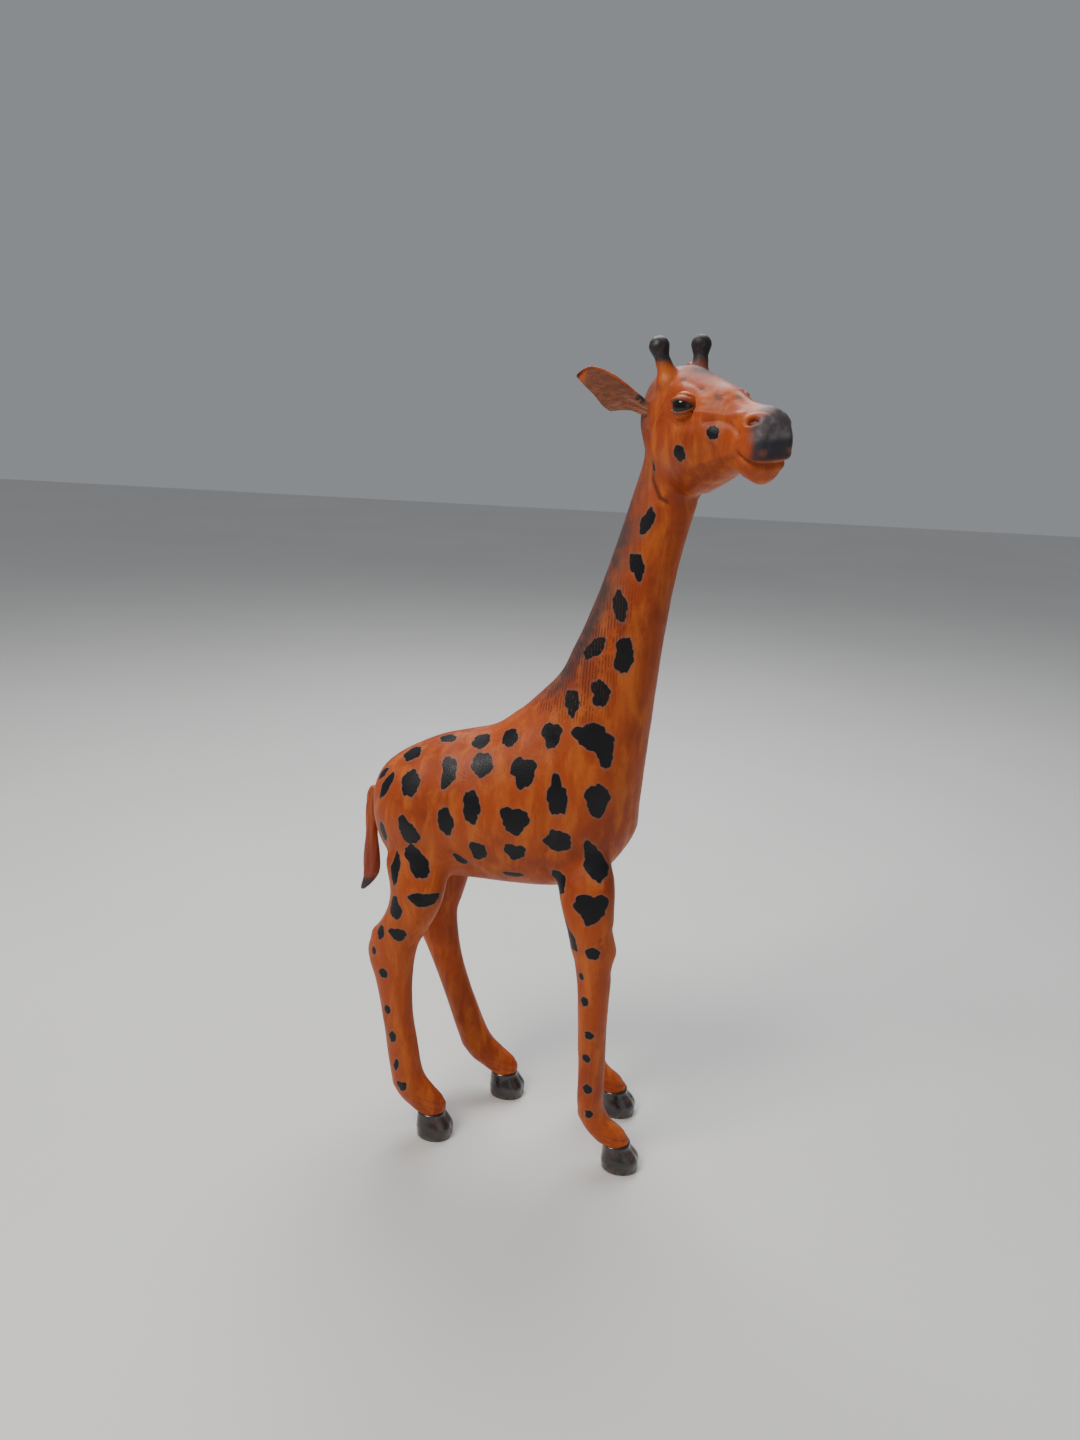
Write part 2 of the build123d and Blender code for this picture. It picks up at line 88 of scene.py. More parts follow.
def head_point(forward, left, up):
    """Point in the head's own axes, measured from the point between the eyes."""
    return EYE_LINE + np.array([forward, left, up]) @ HEAD_AXES


def head_places(points):
    """Coordinates of points in the head's own axes."""
    return (points - EYE_LINE) @ HEAD_AXES.T


# ------------------------------------------------------------------ small numeric tools
def soft_noise(points, cell, seed):
    """Smooth seeded noise from -1 to 1, its lumps about one cell across."""
    size = 32
    table = np.random.default_rng(seed).uniform(-1, 1, (size, size, size))
    scaled = points / cell
    base = np.floor(scaled).astype(int)
    part = scaled - base
    part = part * part * (3 - 2 * part)
    total = np.zeros(len(points))
    for corner in np.ndindex(2, 2, 2):
        cell_at = (base + corner) % size
        weight = np.prod(np.abs(1 - np.array(corner) - part), axis=1)
        total += weight * table[cell_at[:, 0], cell_at[:, 1], cell_at[:, 2]]
    return total


def ramp(values, low, high):
    """0 at low, 1 at high, smooth between; works either way round."""
    share = np.clip((values - low) / (high - low), 0, 1)
    return share * share * (3 - 2 * share)


def mound(points, centre, radius):
    """Rounded weight, 1 at a centre and fading out over radius, one number or one per axis."""
    offset = (points - np.array(centre, float)) / np.array(radius, float)
    return np.exp(-2.2 * (offset ** 2).sum(axis=1))


def line_distance(points, path):
    """Distance from points to a line through a few places."""
    nearest = np.full(len(points), 1e9)
    for start, end in zip(path, path[1:]):
        start = np.array(start, float)
        run = np.array(end, float) - start
        share = np.clip((points - start) @ run / (run @ run), 0, 1)
        nearest = np.minimum(nearest, np.linalg.norm(points - start - share[:, None] * run, axis=1))
    return nearest


def stroke(points, path, width):
    """Weight 1 on a line, fading out over its width."""
    return np.exp(-(line_distance(points, path) / width) ** 2)


def coords(mesh):
    flat = np.empty(len(mesh.vertices) * 3)
    mesh.vertices.foreach_get("co", flat)
    return flat.reshape(-1, 3) / MM


def set_coords(mesh, points):
    mesh.vertices.foreach_set("co", (points * MM).astype(np.float32).ravel())
    mesh.update()


def edge_pairs(mesh):
    flat = np.empty(len(mesh.edges) * 2, dtype=np.int32)
    mesh.edges.foreach_get("vertices", flat)
    return flat.reshape(-1, 2)


def relax(points, pairs, rounds, strength, weights=None):
    """Moves each point towards the middle of its neighbours."""
    count = len(points)
    a, b = pairs[:, 0], pairs[:, 1]
    degree = np.maximum(np.bincount(a, minlength=count) + np.bincount(b, minlength=count), 1)
    step = strength if weights is None else strength * weights[:, None]
    for _ in range(rounds):
        middle = np.stack([
            (np.bincount(a, points[b, axis], count) + np.bincount(b, points[a, axis], count)) / degree
            for axis in range(3)], axis=1)
        points = points + step * (middle - points)
    return points


def relax_region(points, pairs, rounds, strength, weights):
    """As relax, worked out only where the weights aren't zero."""
    active = weights > 0.01
    mine = pairs[active[pairs[:, 0]] | active[pairs[:, 1]]]
    used, numbered = np.unique(mine, return_inverse=True)
    moved = points.copy()
    moved[used] = relax(points[used], numbered.reshape(mine.shape), rounds, strength, weights[used])
    return moved


def smooth_keeping_size(points, pairs, rounds):
    """Relaxes and pushes back in turn, so that thin parts don't shrink."""
    for _ in range(rounds):
        points = relax(points, pairs, 1, 0.5)
        points = relax(points, pairs, 1, -0.52)
    return points


def attribute(mesh, name, values):
    layer = mesh.attributes.get(name) or mesh.attributes.new(name, "FLOAT", "POINT")
    layer.data.foreach_set("value", np.asarray(values, dtype=np.float32))


def new_object(name, mesh):
    obj = bpy.data.objects.new(name, mesh)
    bpy.context.scene.collection.objects.link(obj)
    return obj


def new_mesh(name, points, faces):
    """Smooth-shaded mesh from points in millimetres."""
    mesh = bpy.data.meshes.new(name)
    mesh.from_pydata([tuple(p) for p in np.asarray(points) * MM], [], faces)
    mesh.polygons.foreach_set("use_smooth", np.ones(len(mesh.polygons), dtype=bool))
    mesh.update()
    return mesh


def bake_modifiers(obj):
    """Replaces an object's mesh with its mesh after modifiers."""
    depsgraph = bpy.context.evaluated_depsgraph_get()
    mesh = bpy.data.meshes.new_from_object(obj.evaluated_get(depsgraph))
    obj.modifiers.clear()
    old = obj.data
    obj.data = mesh
    bpy.data.meshes.remove(old)


def voxel_remesh(obj, size):
    modifier = obj.modifiers.new("voxels", "REMESH")
    modifier.mode = "VOXEL"
    modifier.voxel_size = size * MM
    bake_modifiers(obj)


# ------------------------------------------------------------------ the whole skin as one surface
def largest_island(mesh):
    """Drops every surface but the largest."""
    pairs = edge_pairs(mesh)
    label = np.arange(len(mesh.vertices))
    settled = False
    while not settled:
        low = np.minimum(label[pairs[:, 0]], label[pairs[:, 1]])
        spread = label.copy()
        np.minimum.at(spread, pairs[:, 0], low)
        np.minimum.at(spread, pairs[:, 1], low)
        spread = spread[spread]
        settled = np.array_equal(spread, label)
        label = spread
    keep = np.bincount(label).argmax()
    work = bmesh.new()
    work.from_mesh(mesh)
    work.verts.ensure_lookup_table()
    drop = [work.verts[i] for i in np.nonzero(label != keep)[0]]
    bmesh.ops.delete(work, geom=drop, context="VERTS")
    work.to_mesh(mesh)
    work.free()


def refine(mesh, wanted):
    """Halves the edges among the vertices for which wanted(points) is true."""
    inside = wanted(coords(mesh))
    work = bmesh.new()
    work.from_mesh(mesh)
    edges = [e for e in work.edges if inside[e.verts[0].index] and inside[e.verts[1].index]]
    bmesh.ops.subdivide_edges(work, edges=edges, cuts=1, use_grid_fill=True)
    work.to_mesh(mesh)
    work.free()


def near_head(points):
    place = head_places(points)
    return (place[:, 0] > -24) & (place[:, 2] > -30 + 0.25 * np.abs(place[:, 0] + 10)) & (points[:, 2] > 310)


def near_eyes(points):
    gaps = [np.linalg.norm(points - EYES[side], axis=1) for side in SIDES]
    return np.minimum(*gaps) < 8.5


def make_skin():
    work = bmesh.new()
    for node in HIDE_NODES + FILLER_NODES:
        work.from_mesh(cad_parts[node].data)
    mesh = bpy.data.meshes.new("whole_skin")
    work.to_mesh(mesh)
    work.free()
    skin = new_object("whole_skin", mesh)
    voxel_remesh(skin, SKIN_VOXEL)
    largest_island(skin.data)
    return skin


def blend_weights(points):
    """1 where two forms meet and the hide runs smoothly over the joint."""
    height = points[:, 2]
    at_legs = ramp(height, BELLY_Z - 22, BELLY_Z - 8) * ramp(height, BELLY_Z + 44, BELLY_Z + 26)
    neck_low = box_mm("neck_leather")[0]
    saddle = box_centre("neck_dowel")
    from_saddle = np.abs((points - saddle) @ np.array((0.793, 0, 0.609)))
    at_saddle = ramp(from_saddle, 24, 8) * ramp(height, neck_low[2] - 20, neck_low[2])
    head = head_places(points)
    at_throat = ramp(np.linalg.norm(head - (-17, 0, -28), axis=1), 22, 12)
    folded = np.abs(head) * (0, 1, 0) + head * (1, 0, 1)
    at_ossicones = ramp(np.linalg.norm(folded - (-16.5, 9.3, 8.0), axis=1), 6.5, 3.5) * 0.8
    return np.clip(np.maximum.reduce([at_legs, at_saddle, at_throat, at_ossicones]), 0, 1)


def saddle_weights(points):
    """1 on top of the withers, where the neck's hide meets the trunk's."""
    saddle = box_centre("neck_dowel")
    from_saddle = np.abs((points - saddle) @ np.array((0.793, 0, 0.609)))
    return ramp(from_saddle, 20, 6) * ramp(points[:, 2], 185, 215)


# ------------------------------------------------------------------ sculpting
# Body places are (x, z) on either side; head places are (forward, outward, up) on either side.
BODY_MOUNDS = [
    ((25, 192), (17, 26), 1.3),        # shoulder
    ((21, 214), (12, 10), 0.7),        # shoulder blade
    ((-62, 166), (17, 26), 1.2),       # haunch
    ((-47, 196), (7, 6), 0.6),         # hip bone
    ((-20, 168), (26, 20), 0.7),       # barrel
    ((-52, 172), (5, 22), -0.9),       # hollow ahead of the haunch
    ((2, 206), (8, 12), -0.7),         # hollow behind the shoulder blade
    ((4, 178), (5, 22), -0.7),         # behind the shoulder
]
BODY_CREASES = [
    ([(6, 166), (3, 156), (3, 148)], 2.2, -0.7),        # elbow
    ([(-40, 152), (-33, 146), (-26, 140)], 2.4, -0.6),  # flank fold
    ([(-36, 155), (-29, 149), (-22, 143)], 1.8, 0.4),
    ([(4, 208), (8, 200), (9, 190)], 1.6, -0.35),       # edge of the shoulder blade
    ([(39, 168), (38, 156), (36, 146)], 1.8, -0.5),     # breast into leg
    ([(-58, 136), (-50, 128), (-44, 127)], 2.0, -0.3),
]
HEAD_MOUNDS = [
    ((-2.0, 12.5, 6.3), (9, 5, 3.6), 1.7),       # brow
    ((8.0, 11.0, 4.0), (6, 4, 3.5), 0.8),        # front of the brow
    ((16.5, 11.3, -7.5), (6, 5, 4.5), 0.9),      # cheek mound
    ((2.0, 14.5, -17.0), (11, 6, 9), 0.7),       # jaw muscle
    ((30.0, 10.5, -12.0), (3, 4, 3.5), -0.6),    # behind the corner of the mouth
    ((32.5, 8.3, 0.2), (4.6, 3.5, 3.6), 0.9),    # round the nostril
    ((35.0, 0.0, 4.5), (5, 5, 4), 0.5),          # top of the muzzle
    ((37.0, 5.0, -8.5), (4, 6, 4), 0.5),         # upper lip
    ((35.0, 0.0, -20.5), (5, 7, 4), 0.7),        # chin
    ((20.0, 3.5, 5.0), (9, 3, 4), -0.5),         # bridge of the nose falls away at the sides
    ((-18.0, 12.0, -2.0), (4, 4, 5), 0.7),       # ear root
    ((-9.0, 0.0, 13.0), (9, 5, 5), 0.9),         # forehead knob
    ((-15.0, 10.5, 6.5), (7, 4.5, 4.5), 1.5),    # skull rising to the ossicones
    ((-17.0, 6.5, 10.0), (5, 3.5, 3.5), 1.0),
]
HEAD_CREASES = [
    ([(12, 12, -3.6), (17, 10.8, -1.9), (22, 9.7, -2.3), (28, 10, -4.6)], 1.1, -0.7),  # over the cheek
    ([(7, 12.8, -0.6), (17.6, 10, 0.3), (25.5, 7.4, 1.8)], 1.3, 0.7),                  # eye to nostril
    ([(24, 8, -1.0), (27.5, 9, -3.5), (28.5, 10.4, -8.0)], 1.2, -0.45),
    ([(9, 12.5, -20), (18, 10.5, -16.5), (25, 9.8, -12.5), (28, 10.6, -7.5)], 1.6, 0.75),  # cheek edge
    ([(13, 11.5, -22), (21, 9.8, -18), (27, 9.6, -15)], 1.8, -0.5),
    ([(-6, 13.8, -4.8), (0, 14.8, -6.8), (7, 13.4, -5.4)], 0.9, -0.45),                # under the eye
    ([(-8, 13.6, -6.5), (0, 14.8, -9.2), (9, 13, -8.0)], 1.4, 0.35),
    ([(-9, 14, -3), (-14, 13.8, -11), (-16.5, 12.8, -22)], 1.3, 0.45),                 # veins by the ear
    ([(-12, 14, -2), (-17, 13.3, -12), (-19, 12, -20)], 1.1, -0.5),
    ([(4, 8.5, 7.0), (0, 8.8, 8.4), (-6, 9.2, 9.2)], 1.1, -0.45),                      # above the brow
    ([(14, 5.0, 5.2), (15, 0.0, 6.4)], 1.0, -0.3),
]
MOUTH_UP, MOUTH_DROP = -12.4, 2.4
JOWL = [(3, 0, -42), (-4, 7, -41), (-11, 10.8, -37.5), (-15.5, 12.2, -31), (-18, 12.6, -22), (-20, 12.8, -13)]
JOWL_EDGE = [(5, 0, -38), (-1, 7, -37.5), (-8, 11.4, -34.5), (-12.5, 13, -28), (-14.5, 13.4, -19)]


def mirrored(points, middle):
    """Points with both sides laid over each other: the sideways coordinate counted outwards."""
    folded = points.copy()
    folded[:, 1] = np.abs(points[:, 1] - middle)
    return folded


def body_relief(points, normals):
    """How far the hide over the trunk stands out or in."""
    flank = points[:, [0, 2]]
    sideways = np.abs(normals[:, 1])
    trunk = ramp(points[:, 2], 112, 128)
    relief = np.zeros(len(points))
    for centre, radius, height in BODY_MOUNDS:
        relief += height * mound(flank, centre, radius)
    for path, width, height in BODY_CREASES:
        relief += height * stroke(flank, path, width)
    return relief * ramp(sideways, 0.15, 0.6) * trunk


def head_relief(points):
    """How far the hide over the head stands out or in."""
    place = mirrored(head_places(points), 0)
    relief = np.zeros(len(points))
    for centre, radius, height in HEAD_MOUNDS:
        relief += height * mound(place, centre, radius)
    for path, width, height in HEAD_CREASES:
        relief += height * stroke(place, path, width)
    # the mouth runs round the muzzle, the lower lip set back under it
    above_mouth = place[:, 2] - MOUTH_UP + MOUTH_DROP * ramp(place[:, 0], 28, 39)
    in_front = ramp(place[:, 0], 27.5, 31)
    lip_edge = 0.5 * np.exp(-((above_mouth - 2.4) / 1.5) ** 2)
    lip_line = 1.3 * np.exp(-(above_mouth / 0.85) ** 2)
    lower_edge = 0.35 * np.exp(-((above_mouth + 2.3) / 1.3) ** 2)
    set_back = 0.7 * ramp(above_mouth, 0, -1.0)
    relief += in_front * (lip_edge - lip_line + lower_edge - set_back)
    relief -= 1.0 * stroke(place, JOWL, 1.5)
    relief += 1.0 * stroke(place, JOWL_EDGE, 3.2)
    nostril = (place - (32.6, 9.0, 0.1)) @ np.array([[0.94, 0.2, 0.28], [0, 1, 0], [-0.28, 0, 0.96]]).T
    spread = np.linalg.norm(nostril / (2.9, 4.0, 1.8), axis=1)
    relief += 0.45 * np.exp(-((spread - 1.35) / 0.4) ** 2) - 2.0 * ramp(spread, 1.0, 0.45)
    return relief * ramp(place[:, 0], -34, -24) * (points[:, 2] > 295)


def leg_profile(leg):
    """Centre and half depth of a leg at a few heights, read from its hide."""
    hide = coords(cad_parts[LEG_NODES[leg]].data)

    def at(height):
        ring = hide[np.abs(hide[:, 2] - height) < 2.5]
        low, high = ring.min(axis=0), ring.max(axis=0)
        return (low + high) / 2, (high - low) / 2

    return at


def leg_relief(points, owner):
    """Knees, hocks, fetlocks and creases down the legs."""
    relief = np.zeros(len(points))
    for leg in LEGS:
        mine = owner == LEG_NODES[leg]
        place = points[mine]
        at = leg_profile(leg)
        total = np.zeros(len(place))
        joint_z = 112 if leg.startswith("front") else 106
        middle, half = at(joint_z)
        front = middle + (half[0], 0, 0)
        back = middle - (half[0], 0, 0)
        if leg.startswith("front"):
            total += 1.3 * mound(place, front, (6, 6, 7)) - 0.6 * mound(place, front + (0, 0, 10), (5, 8, 4))
            total -= 0.5 * mound(place, front - (0, 0, 11), (5, 8, 5))
            total += 0.5 * mound(place, back, (4, 6, 8))
            for step in (8, 11.5):
                total -= 0.4 * stroke(place, [front + (0, -7, step), front + (-8, -7, step - 5)], 0.9)
                total -= 0.3 * stroke(place, [front + (0, 7, step), front + (-8, 7, step - 5)], 0.9)
        else:
            total += (1.5 * mound(place, back + (0, 0, 1), (5, 5, 5))
                      - 0.5 * mound(place, back - (0, 0, 12), (4, 6, 6)))
            total -= 0.5 * mound(place, back + (2, 0, 11), (4, 7, 5))
            total += 0.4 * mound(place, front, (4, 6, 8))
        # hollows between bone and tendon down the cannon
        for side in (-1, 1):
            for height in range(42, 96, 9):
                middle, half = at(height)
                total -= 0.28 * mound(place, middle + (-1.5, side * half[1], 0), (2.2, 3, 8))
        middle, half = at(27)
        total += 1.0 * mound(place, middle + (-half[0], 0, -2), (4, 6, 4.5))
        total += 0.5 * mound(place, middle + (half[0] * 0.8, 0, 0), (4, 6, 5))
        middle, half = at(19)
        for height in (22.5, 19.5, 17):
            ring = np.abs(place[:, 2] - height + 0.35 * (place[:, 0] - middle[0]))
            total -= 0.33 * np.exp(-(ring / 0.75) ** 2) * ramp(place[:, 0], middle[0] - 5, middle[0] + 2)
        total += 0.35 * np.exp(-((place[:, 2] - 14.2) / 1.1) ** 2)
        relief[mine] = total
    return relief


def open_eyes(points):
    """Lids over the eyeballs, with an almond opening; returns the points and the depth into the lids."""
    lid_edge = np.full(len(points), 9.0)
    for side, sign in SIDES.items():
        centre = EYES[side]
        outward = np.array([0.30, sign * 0.95, 0.04]) @ HEAD_AXES
        outward /= np.linalg.norm(outward)
        along = HEAD_AXES[0] - outward * (HEAD_AXES[0] @ outward)
        along /= np.linalg.norm(along)
        over = np.cross(outward, along) * -sign
        offset = points - centre
        reach = np.linalg.norm(offset, axis=1)
        direction = offset / np.maximum(reach, 1e-6)[:, None]
        a = offset @ along + 0.2
        b = offset @ over - 0.12 * a + 0.15
        depth = offset @ outward
        arch = np.where(b > 0, 2.3, 1.65) * np.maximum(1 - (a / 4.7) ** 2, 0) ** 0.75
        gap = np.abs(b) - arch + np.maximum(np.abs(a) - 4.5, 0)
        gap = np.where(depth > 0.5, gap, 9.0)
        near = reach < 9.0
        lid_edge = np.where(near, np.minimum(lid_edge, gap), lid_edge)
        on_ball = ramp(reach, 6.2, 5.0) * (depth > -2.0)
        rise = ramp(gap, -0.22, 0.22)
        wanted = (EYE_RADIUS - 0.55) + rise * (1.3 + 0.2 * ramp(gap, 1.2, 0.3))
        fold = np.exp(-((gap - 1.9) / 0.45) ** 2) * ramp(b, 0.3, 1.5) * 0.45
        moved = centre + direction * (wanted - fold)[:, None]
        points = points * (1 - on_ball)[:, None] + moved * on_ball[:, None]
    return points, lid_edge


# ------------------------------------------------------------------ who owns which face
def nearest_owner(points):
    """The hide node nearest to each point."""
    best = np.full(len(points), 1e9)
    owner = np.zeros(len(points), dtype=int)
    vectors = [Vector(p) for p in points * MM]
    for number, node in enumerate(HIDE_NODES):
        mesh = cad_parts[node].data
        tree = BVHTree.FromPolygons([v.co for v in mesh.vertices], [p.vertices for p in mesh.polygons])
        low, high = box_mm(node)
        close = np.all((points > low - 6) & (points < high + 6), axis=1)
        for index in np.nonzero(close)[0]:
            gap = tree.find_nearest(vectors[index])[3]
            if gap < best[index]:
                best[index] = gap
                owner[index] = number
    return owner


def settle_owner(owner, pairs, rounds):
    """Smooths ragged borders: each vertex takes the owner most common around it."""
    count = len(owner)
    a, b = pairs[:, 0], pairs[:, 1]
    shares = np.zeros((len(HIDE_NODES), count))
    shares[owner, np.arange(count)] = 1.0
    degree = np.maximum(np.bincount(a, minlength=count) + np.bincount(b, minlength=count), 1)
    for _ in range(rounds):
        for row in range(len(HIDE_NODES)):
            around = np.bincount(a, shares[row, b], count) + np.bincount(b, shares[row, a], count)
            shares[row] = 0.4 * shares[row] + 0.6 * around / degree
    return shares.argmax(axis=0)


# ------------------------------------------------------------------ painted pattern
# Outlines as radii at eight directions, from ahead round over the top, in shares of half width.
SHAPES = {
    "round": (1.0, 0.95, 1.0, 1.05, 1.0, 0.92, 1.0, 1.0),
    "oval": (1.0, 0.9, 1.0, 0.95, 1.0, 0.9, 1.0, 0.95),
    "leaf": (0.9, 1.0, 1.05, 0.7, 0.9, 1.0, 1.0, 0.7),
    "drop": (0.9, 0.95, 0.9, 1.0, 0.85, 0.75, 1.15, 0.9),
    "point_up": (0.95, 0.75, 1.15, 0.8, 0.9, 1.0, 0.95, 1.0),
    "kidney": (1.0, 1.1, 1.0, 0.8, 0.75, 1.05, 1.0, 0.8),
    "peanut": (0.95, 1.0, 1.0, 0.95, 0.75, 1.1, 1.0, 1.05),
    "shield": (1.0, 1.15, 0.85, 1.1, 0.9, 0.65, 1.05, 0.95),
    "heart": (1.0, 1.05, 0.75, 1.15, 0.9, 0.8, 1.05, 0.85),
    "comma": (1.0, 0.75, 0.7, 1.15, 0.8, 0.6, 0.95, 1.2),
    "crescent": (1.0, 0.95, 1.0, 0.95, 0.35, 0.6, 1.05, 0.95),
    "star": (1.0, 0.95, 1.15, 0.95, 1.05, 0.75, 1.0, 0.9),
    "wedge": (1.0, 1.15, 0.75, 1.15, 1.0, 0.75, 1.05, 0.8),
    "half_moon": (1.0, 1.1, 0.75, 1.15, 1.0, 0.9, 1.0, 0.9),
    "notched": (1.0, 1.0, 1.0, 1.05, 0.6, 0.95, 1.0, 0.95),
}
# Spots on one side: place (x, z), half width, half height, lean in degrees, outline.
# The places and sizes in the four spot lists below were worked out by measuring, outside this script;
# the leans and outlines were chosen one by one.
BODY_SPOTS = [
    (38, 302, 2.8, 5.2, -12, "leaf"), (35, 284, 3.2, 5.2, 14, "drop"), (29, 267, 3.0, 6.1, 12, "oval"),
    (19, 248.5, 3.4, 5.6, -32, "kidney"), (32, 247, 4.0, 6.9, 0, "peanut"), (11, 225, 3.7, 5.2, 10, "drop"),
    (23, 230, 4.1, 5.2, 8, "notched"), (21.5, 211.0, 8.4, 5.2, -8, "star"),
    (26.5, 206.0, 4.4, 6.8, 8, "drop"), (3, 210, 4.3, 5.2, 0, "shield"),
    (-16, 206, 4.0, 4.0, 0, "round"), (-30, 202, 4.2, 4.2, -35, "oval"), (-47, 200, 4.6, 2.9, 20, "oval"),
    (-63, 192, 5.0, 4.2, 25, "oval"), (-77, 181, 2.2, 3.6, -30, "oval"), (-73, 178, 2.7, 6.3, -14, "oval"),
    (-60, 182, 4.4, 5.7, 0, "round"), (-43, 189, 4.4, 6.7, 0, "crescent"), (-27, 194, 4.8, 5.2, 0, "round"),
    (-8, 193.5, 5.4, 6.4, 0, "shield"), (8, 185, 4.5, 8.0, 6, "point_up"), (25, 184, 5.6, 7.1, 0, "drop"),
    (-41.5, 168, 3.5, 6.2, 6, "oval"), (-30, 176, 4.2, 6.8, 16, "kidney"), (-10, 172.5, 5.9, 6.2, 0, "heart"),
    (9, 164.5, 5.9, 4.7, -24, "peanut"), (25, 154, 5.0, 8.4, 22, "point_up"),
    (-60, 161, 6.0, 5.3, -28, "comma"),
    (-74, 156, 2.3, 4.6, 0, "oval"), (-56, 146, 4.4, 7.6, 36, "peanut"), (-66, 141, 2.7, 6.8, 12, "leaf"),
    (-27, 155, 4.1, 4.5, 10, "notched"), (-10, 157, 4.6, 4.2, 0, "heart"), (-36, 149, 3.6, 2.4, -24, "comma"),
    (-12, 143, 4.2, 1.9, 0, "half_moon"), (10, 143, 3.4, 5.0, 26, "notched"),
    (-51, 129, 6.3, 3.3, 0, "half_moon"),
    (-65, 123, 3.6, 5.0, 8, "point_up"), (25.5, 135, 6.6, 6.7, 0, "wedge"),
]
LEG_SPOTS = {
    "rear": [(-8, 109, 2.2, 3.2, 0, "oval"), (0, 110, 4.0, 3.1, 0, "shield"), (-7, 99, 1.3, 1.9, 0, "oval"),
             (-2, 88, 2.1, 2.4, 0, "round"), (-2.5, 68.5, 1.6, 2.2, 0, "oval"), (-2, 54, 1.8, 2.8, 0, "oval"),
             (-2, 39, 1.4, 2.8, 0, "leaf"), (-3, 28, 2.5, 2.5, 0, "shield")],
    "front": [(-8, 119, 2.8, 6.4, 24, "point_up"), (2, 114, 3.1, 2.7, 0, "round"),
              (-4.5, 101, 1.3, 1.8, 0, "oval"), (-3, 88.5, 1.8, 2.3, 0, "oval"),
              (-0.5, 71.5, 2.3, 1.8, 0, "notched"), (-1.5, 59, 1.9, 1.9, 0, "round"),
              (-0.5, 43, 2.1, 2.4, 0, "oval"), (0, 30, 1.9, 1.9, 0, "notched")],
}
# Spots on the head: forward, outward, up, half width, half height.
HEAD_SPOTS = [(16.8, 11.8, -6.6, 2.5, 2.5), (3.6, 14.8, -16.5, 2.8, 3.1), (-15.6, 12, -25.4, 1.4, 2.5)]
FOREHEAD_SPOTS = [(4.5, 8.2, 6.6, 2.0, 1.2), (12.5, 7.4, 5.4, 2.3, 1.3), (-7, 8.6, 9.6, 1.6, 1.3),
                  (18, 2.4, 6.4, 1.8, 1.2)]
SPOT_REACH = 12.0
SPOT_SPREAD = 1.08     # the paint runs a little past each outline


def outline_radius(shape, angle):
    """Radius of an outline at an angle, run smoothly through its eight given radii."""
    radii = np.array(SHAPES[shape])
    step = (angle / (2 * math.pi) * 8) % 8
    base = np.floor(step).astype(int)
    t = step - base
    before, here, after, beyond = (radii[(base + k) % 8] for k in (-1, 0, 1, 2))
    bend = (2 * before - 5 * here + 4 * after - beyond) * t * t
    twist = (3 * here - before - 3 * after + beyond) * t * t * t
    return here + 0.5 * ((after - before) * t + bend + twist)


def stamp_spot(distance, points, normals, centre, facing, half_width, half_height, lean, shape, seed):
    """Signed distance, in millimetres, to the edge of one painted spot; the least of all is kept."""
    near = np.nonzero(np.linalg.norm(points - centre, axis=1) < SPOT_REACH + half_height)[0]
    near = near[normals[near] @ facing > -0.1]
    across = np.cross((0, 0, 1), facing)
    across /= np.linalg.norm(across)
    if across[0] < 0:
        across = -across
    over = np.cross(facing, across)
    if over[2] < 0:
        over = -over
    offset = points[near] - centre
    turn = math.radians(lean)
    u0, v0 = offset @ across, offset @ over
    u = u0 * math.cos(turn) + v0 * math.sin(turn)
    v = v0 * math.cos(turn) - u0 * math.sin(turn)
    u, v = u / half_width, v / half_height
    angle = np.arctan2(v, u)
    reach = np.hypot(u, v)
    wobble = np.random.default_rng(seed).uniform(0, 2 * math.pi, 3)
    rim = outline_radius(shape, angle)
    for lobes, phase in zip((5, 9, 13), wobble):
        rim = rim + 0.30 / lobes * np.cos(lobes * angle + phase)
    size = min(half_width, half_height)
    distance[near] = np.minimum(distance[near], (reach - rim) * size)


def surface_place(tree, x, z, side):
    """Point and facing of the hide at (x, z), seen from one side."""
    start = Vector((x, MIDDLE_Y + side * 80, z)) * MM
    hit, normal, _, _ = tree.ray_cast(start, Vector((0, -side, 0)))
    if hit is None:
        return None
    return np.array(hit) / MM, np.array(normal)


def paint_spots(points, normals, tree):
    """Signed distance to the nearest dark spot, and to the nearest faint one."""
    dark = np.full(len(points), 9.0)
    chance = np.random.default_rng(SEED)
    for side in SIDES.values():
        rows = list(BODY_SPOTS)
        for leg in LEGS:
            if SIDES[leg.split("_")[1]] == side:
                at = leg_profile(leg)
                rows += [(at(z)[0][0] + x, z, w, h, lean, shape)
                         for x, z, w, h, lean, shape in LEG_SPOTS[leg.split("_")[0]]]
        for number, (x, z, w, h, lean, shape) in enumerate(rows):
            shift = chance.uniform(-1, 1, 2) * 1.6
            grow = chance.uniform(0.9, 1.1)
            twist = chance.uniform(-9, 9)
            if side < 0:
                shift, grow, twist = (0, 0), 1.0, 0
            if z < BELLY_Z - 10:
                shift = (0, 0)
            place = surface_place(tree, x + shift[0], z + shift[1], side)
            if place is not None:
                stamp_spot(dark, points, normals, *place, w * grow * SPOT_SPREAD, h * grow * SPOT_SPREAD,
                           lean + twist, shape, SEED + number)
        for number, (forward, outward, up, w, h) in enumerate(HEAD_SPOTS):
            centre = head_point(forward, side * outward, up)
            facing = np.array([0.1, side * 1.0, 0.0]) @ HEAD_AXES
            stamp_spot(dark, points, normals, centre, facing, w, h, 0, "round", SEED + number)
    faint = np.full(len(points), 9.0)
    for side in SIDES.values():
        for number, (forward, outward, up, w, h) in enumerate(FOREHEAD_SPOTS):
            centre = head_point(forward, side * outward, up)
            facing = np.array([0.0, side * 0.6, 0.8]) @ HEAD_AXES
            stamp_spot(faint, points, normals, centre, facing, w, h, 20 * side, "oval", SEED + number)
    return dark, faint


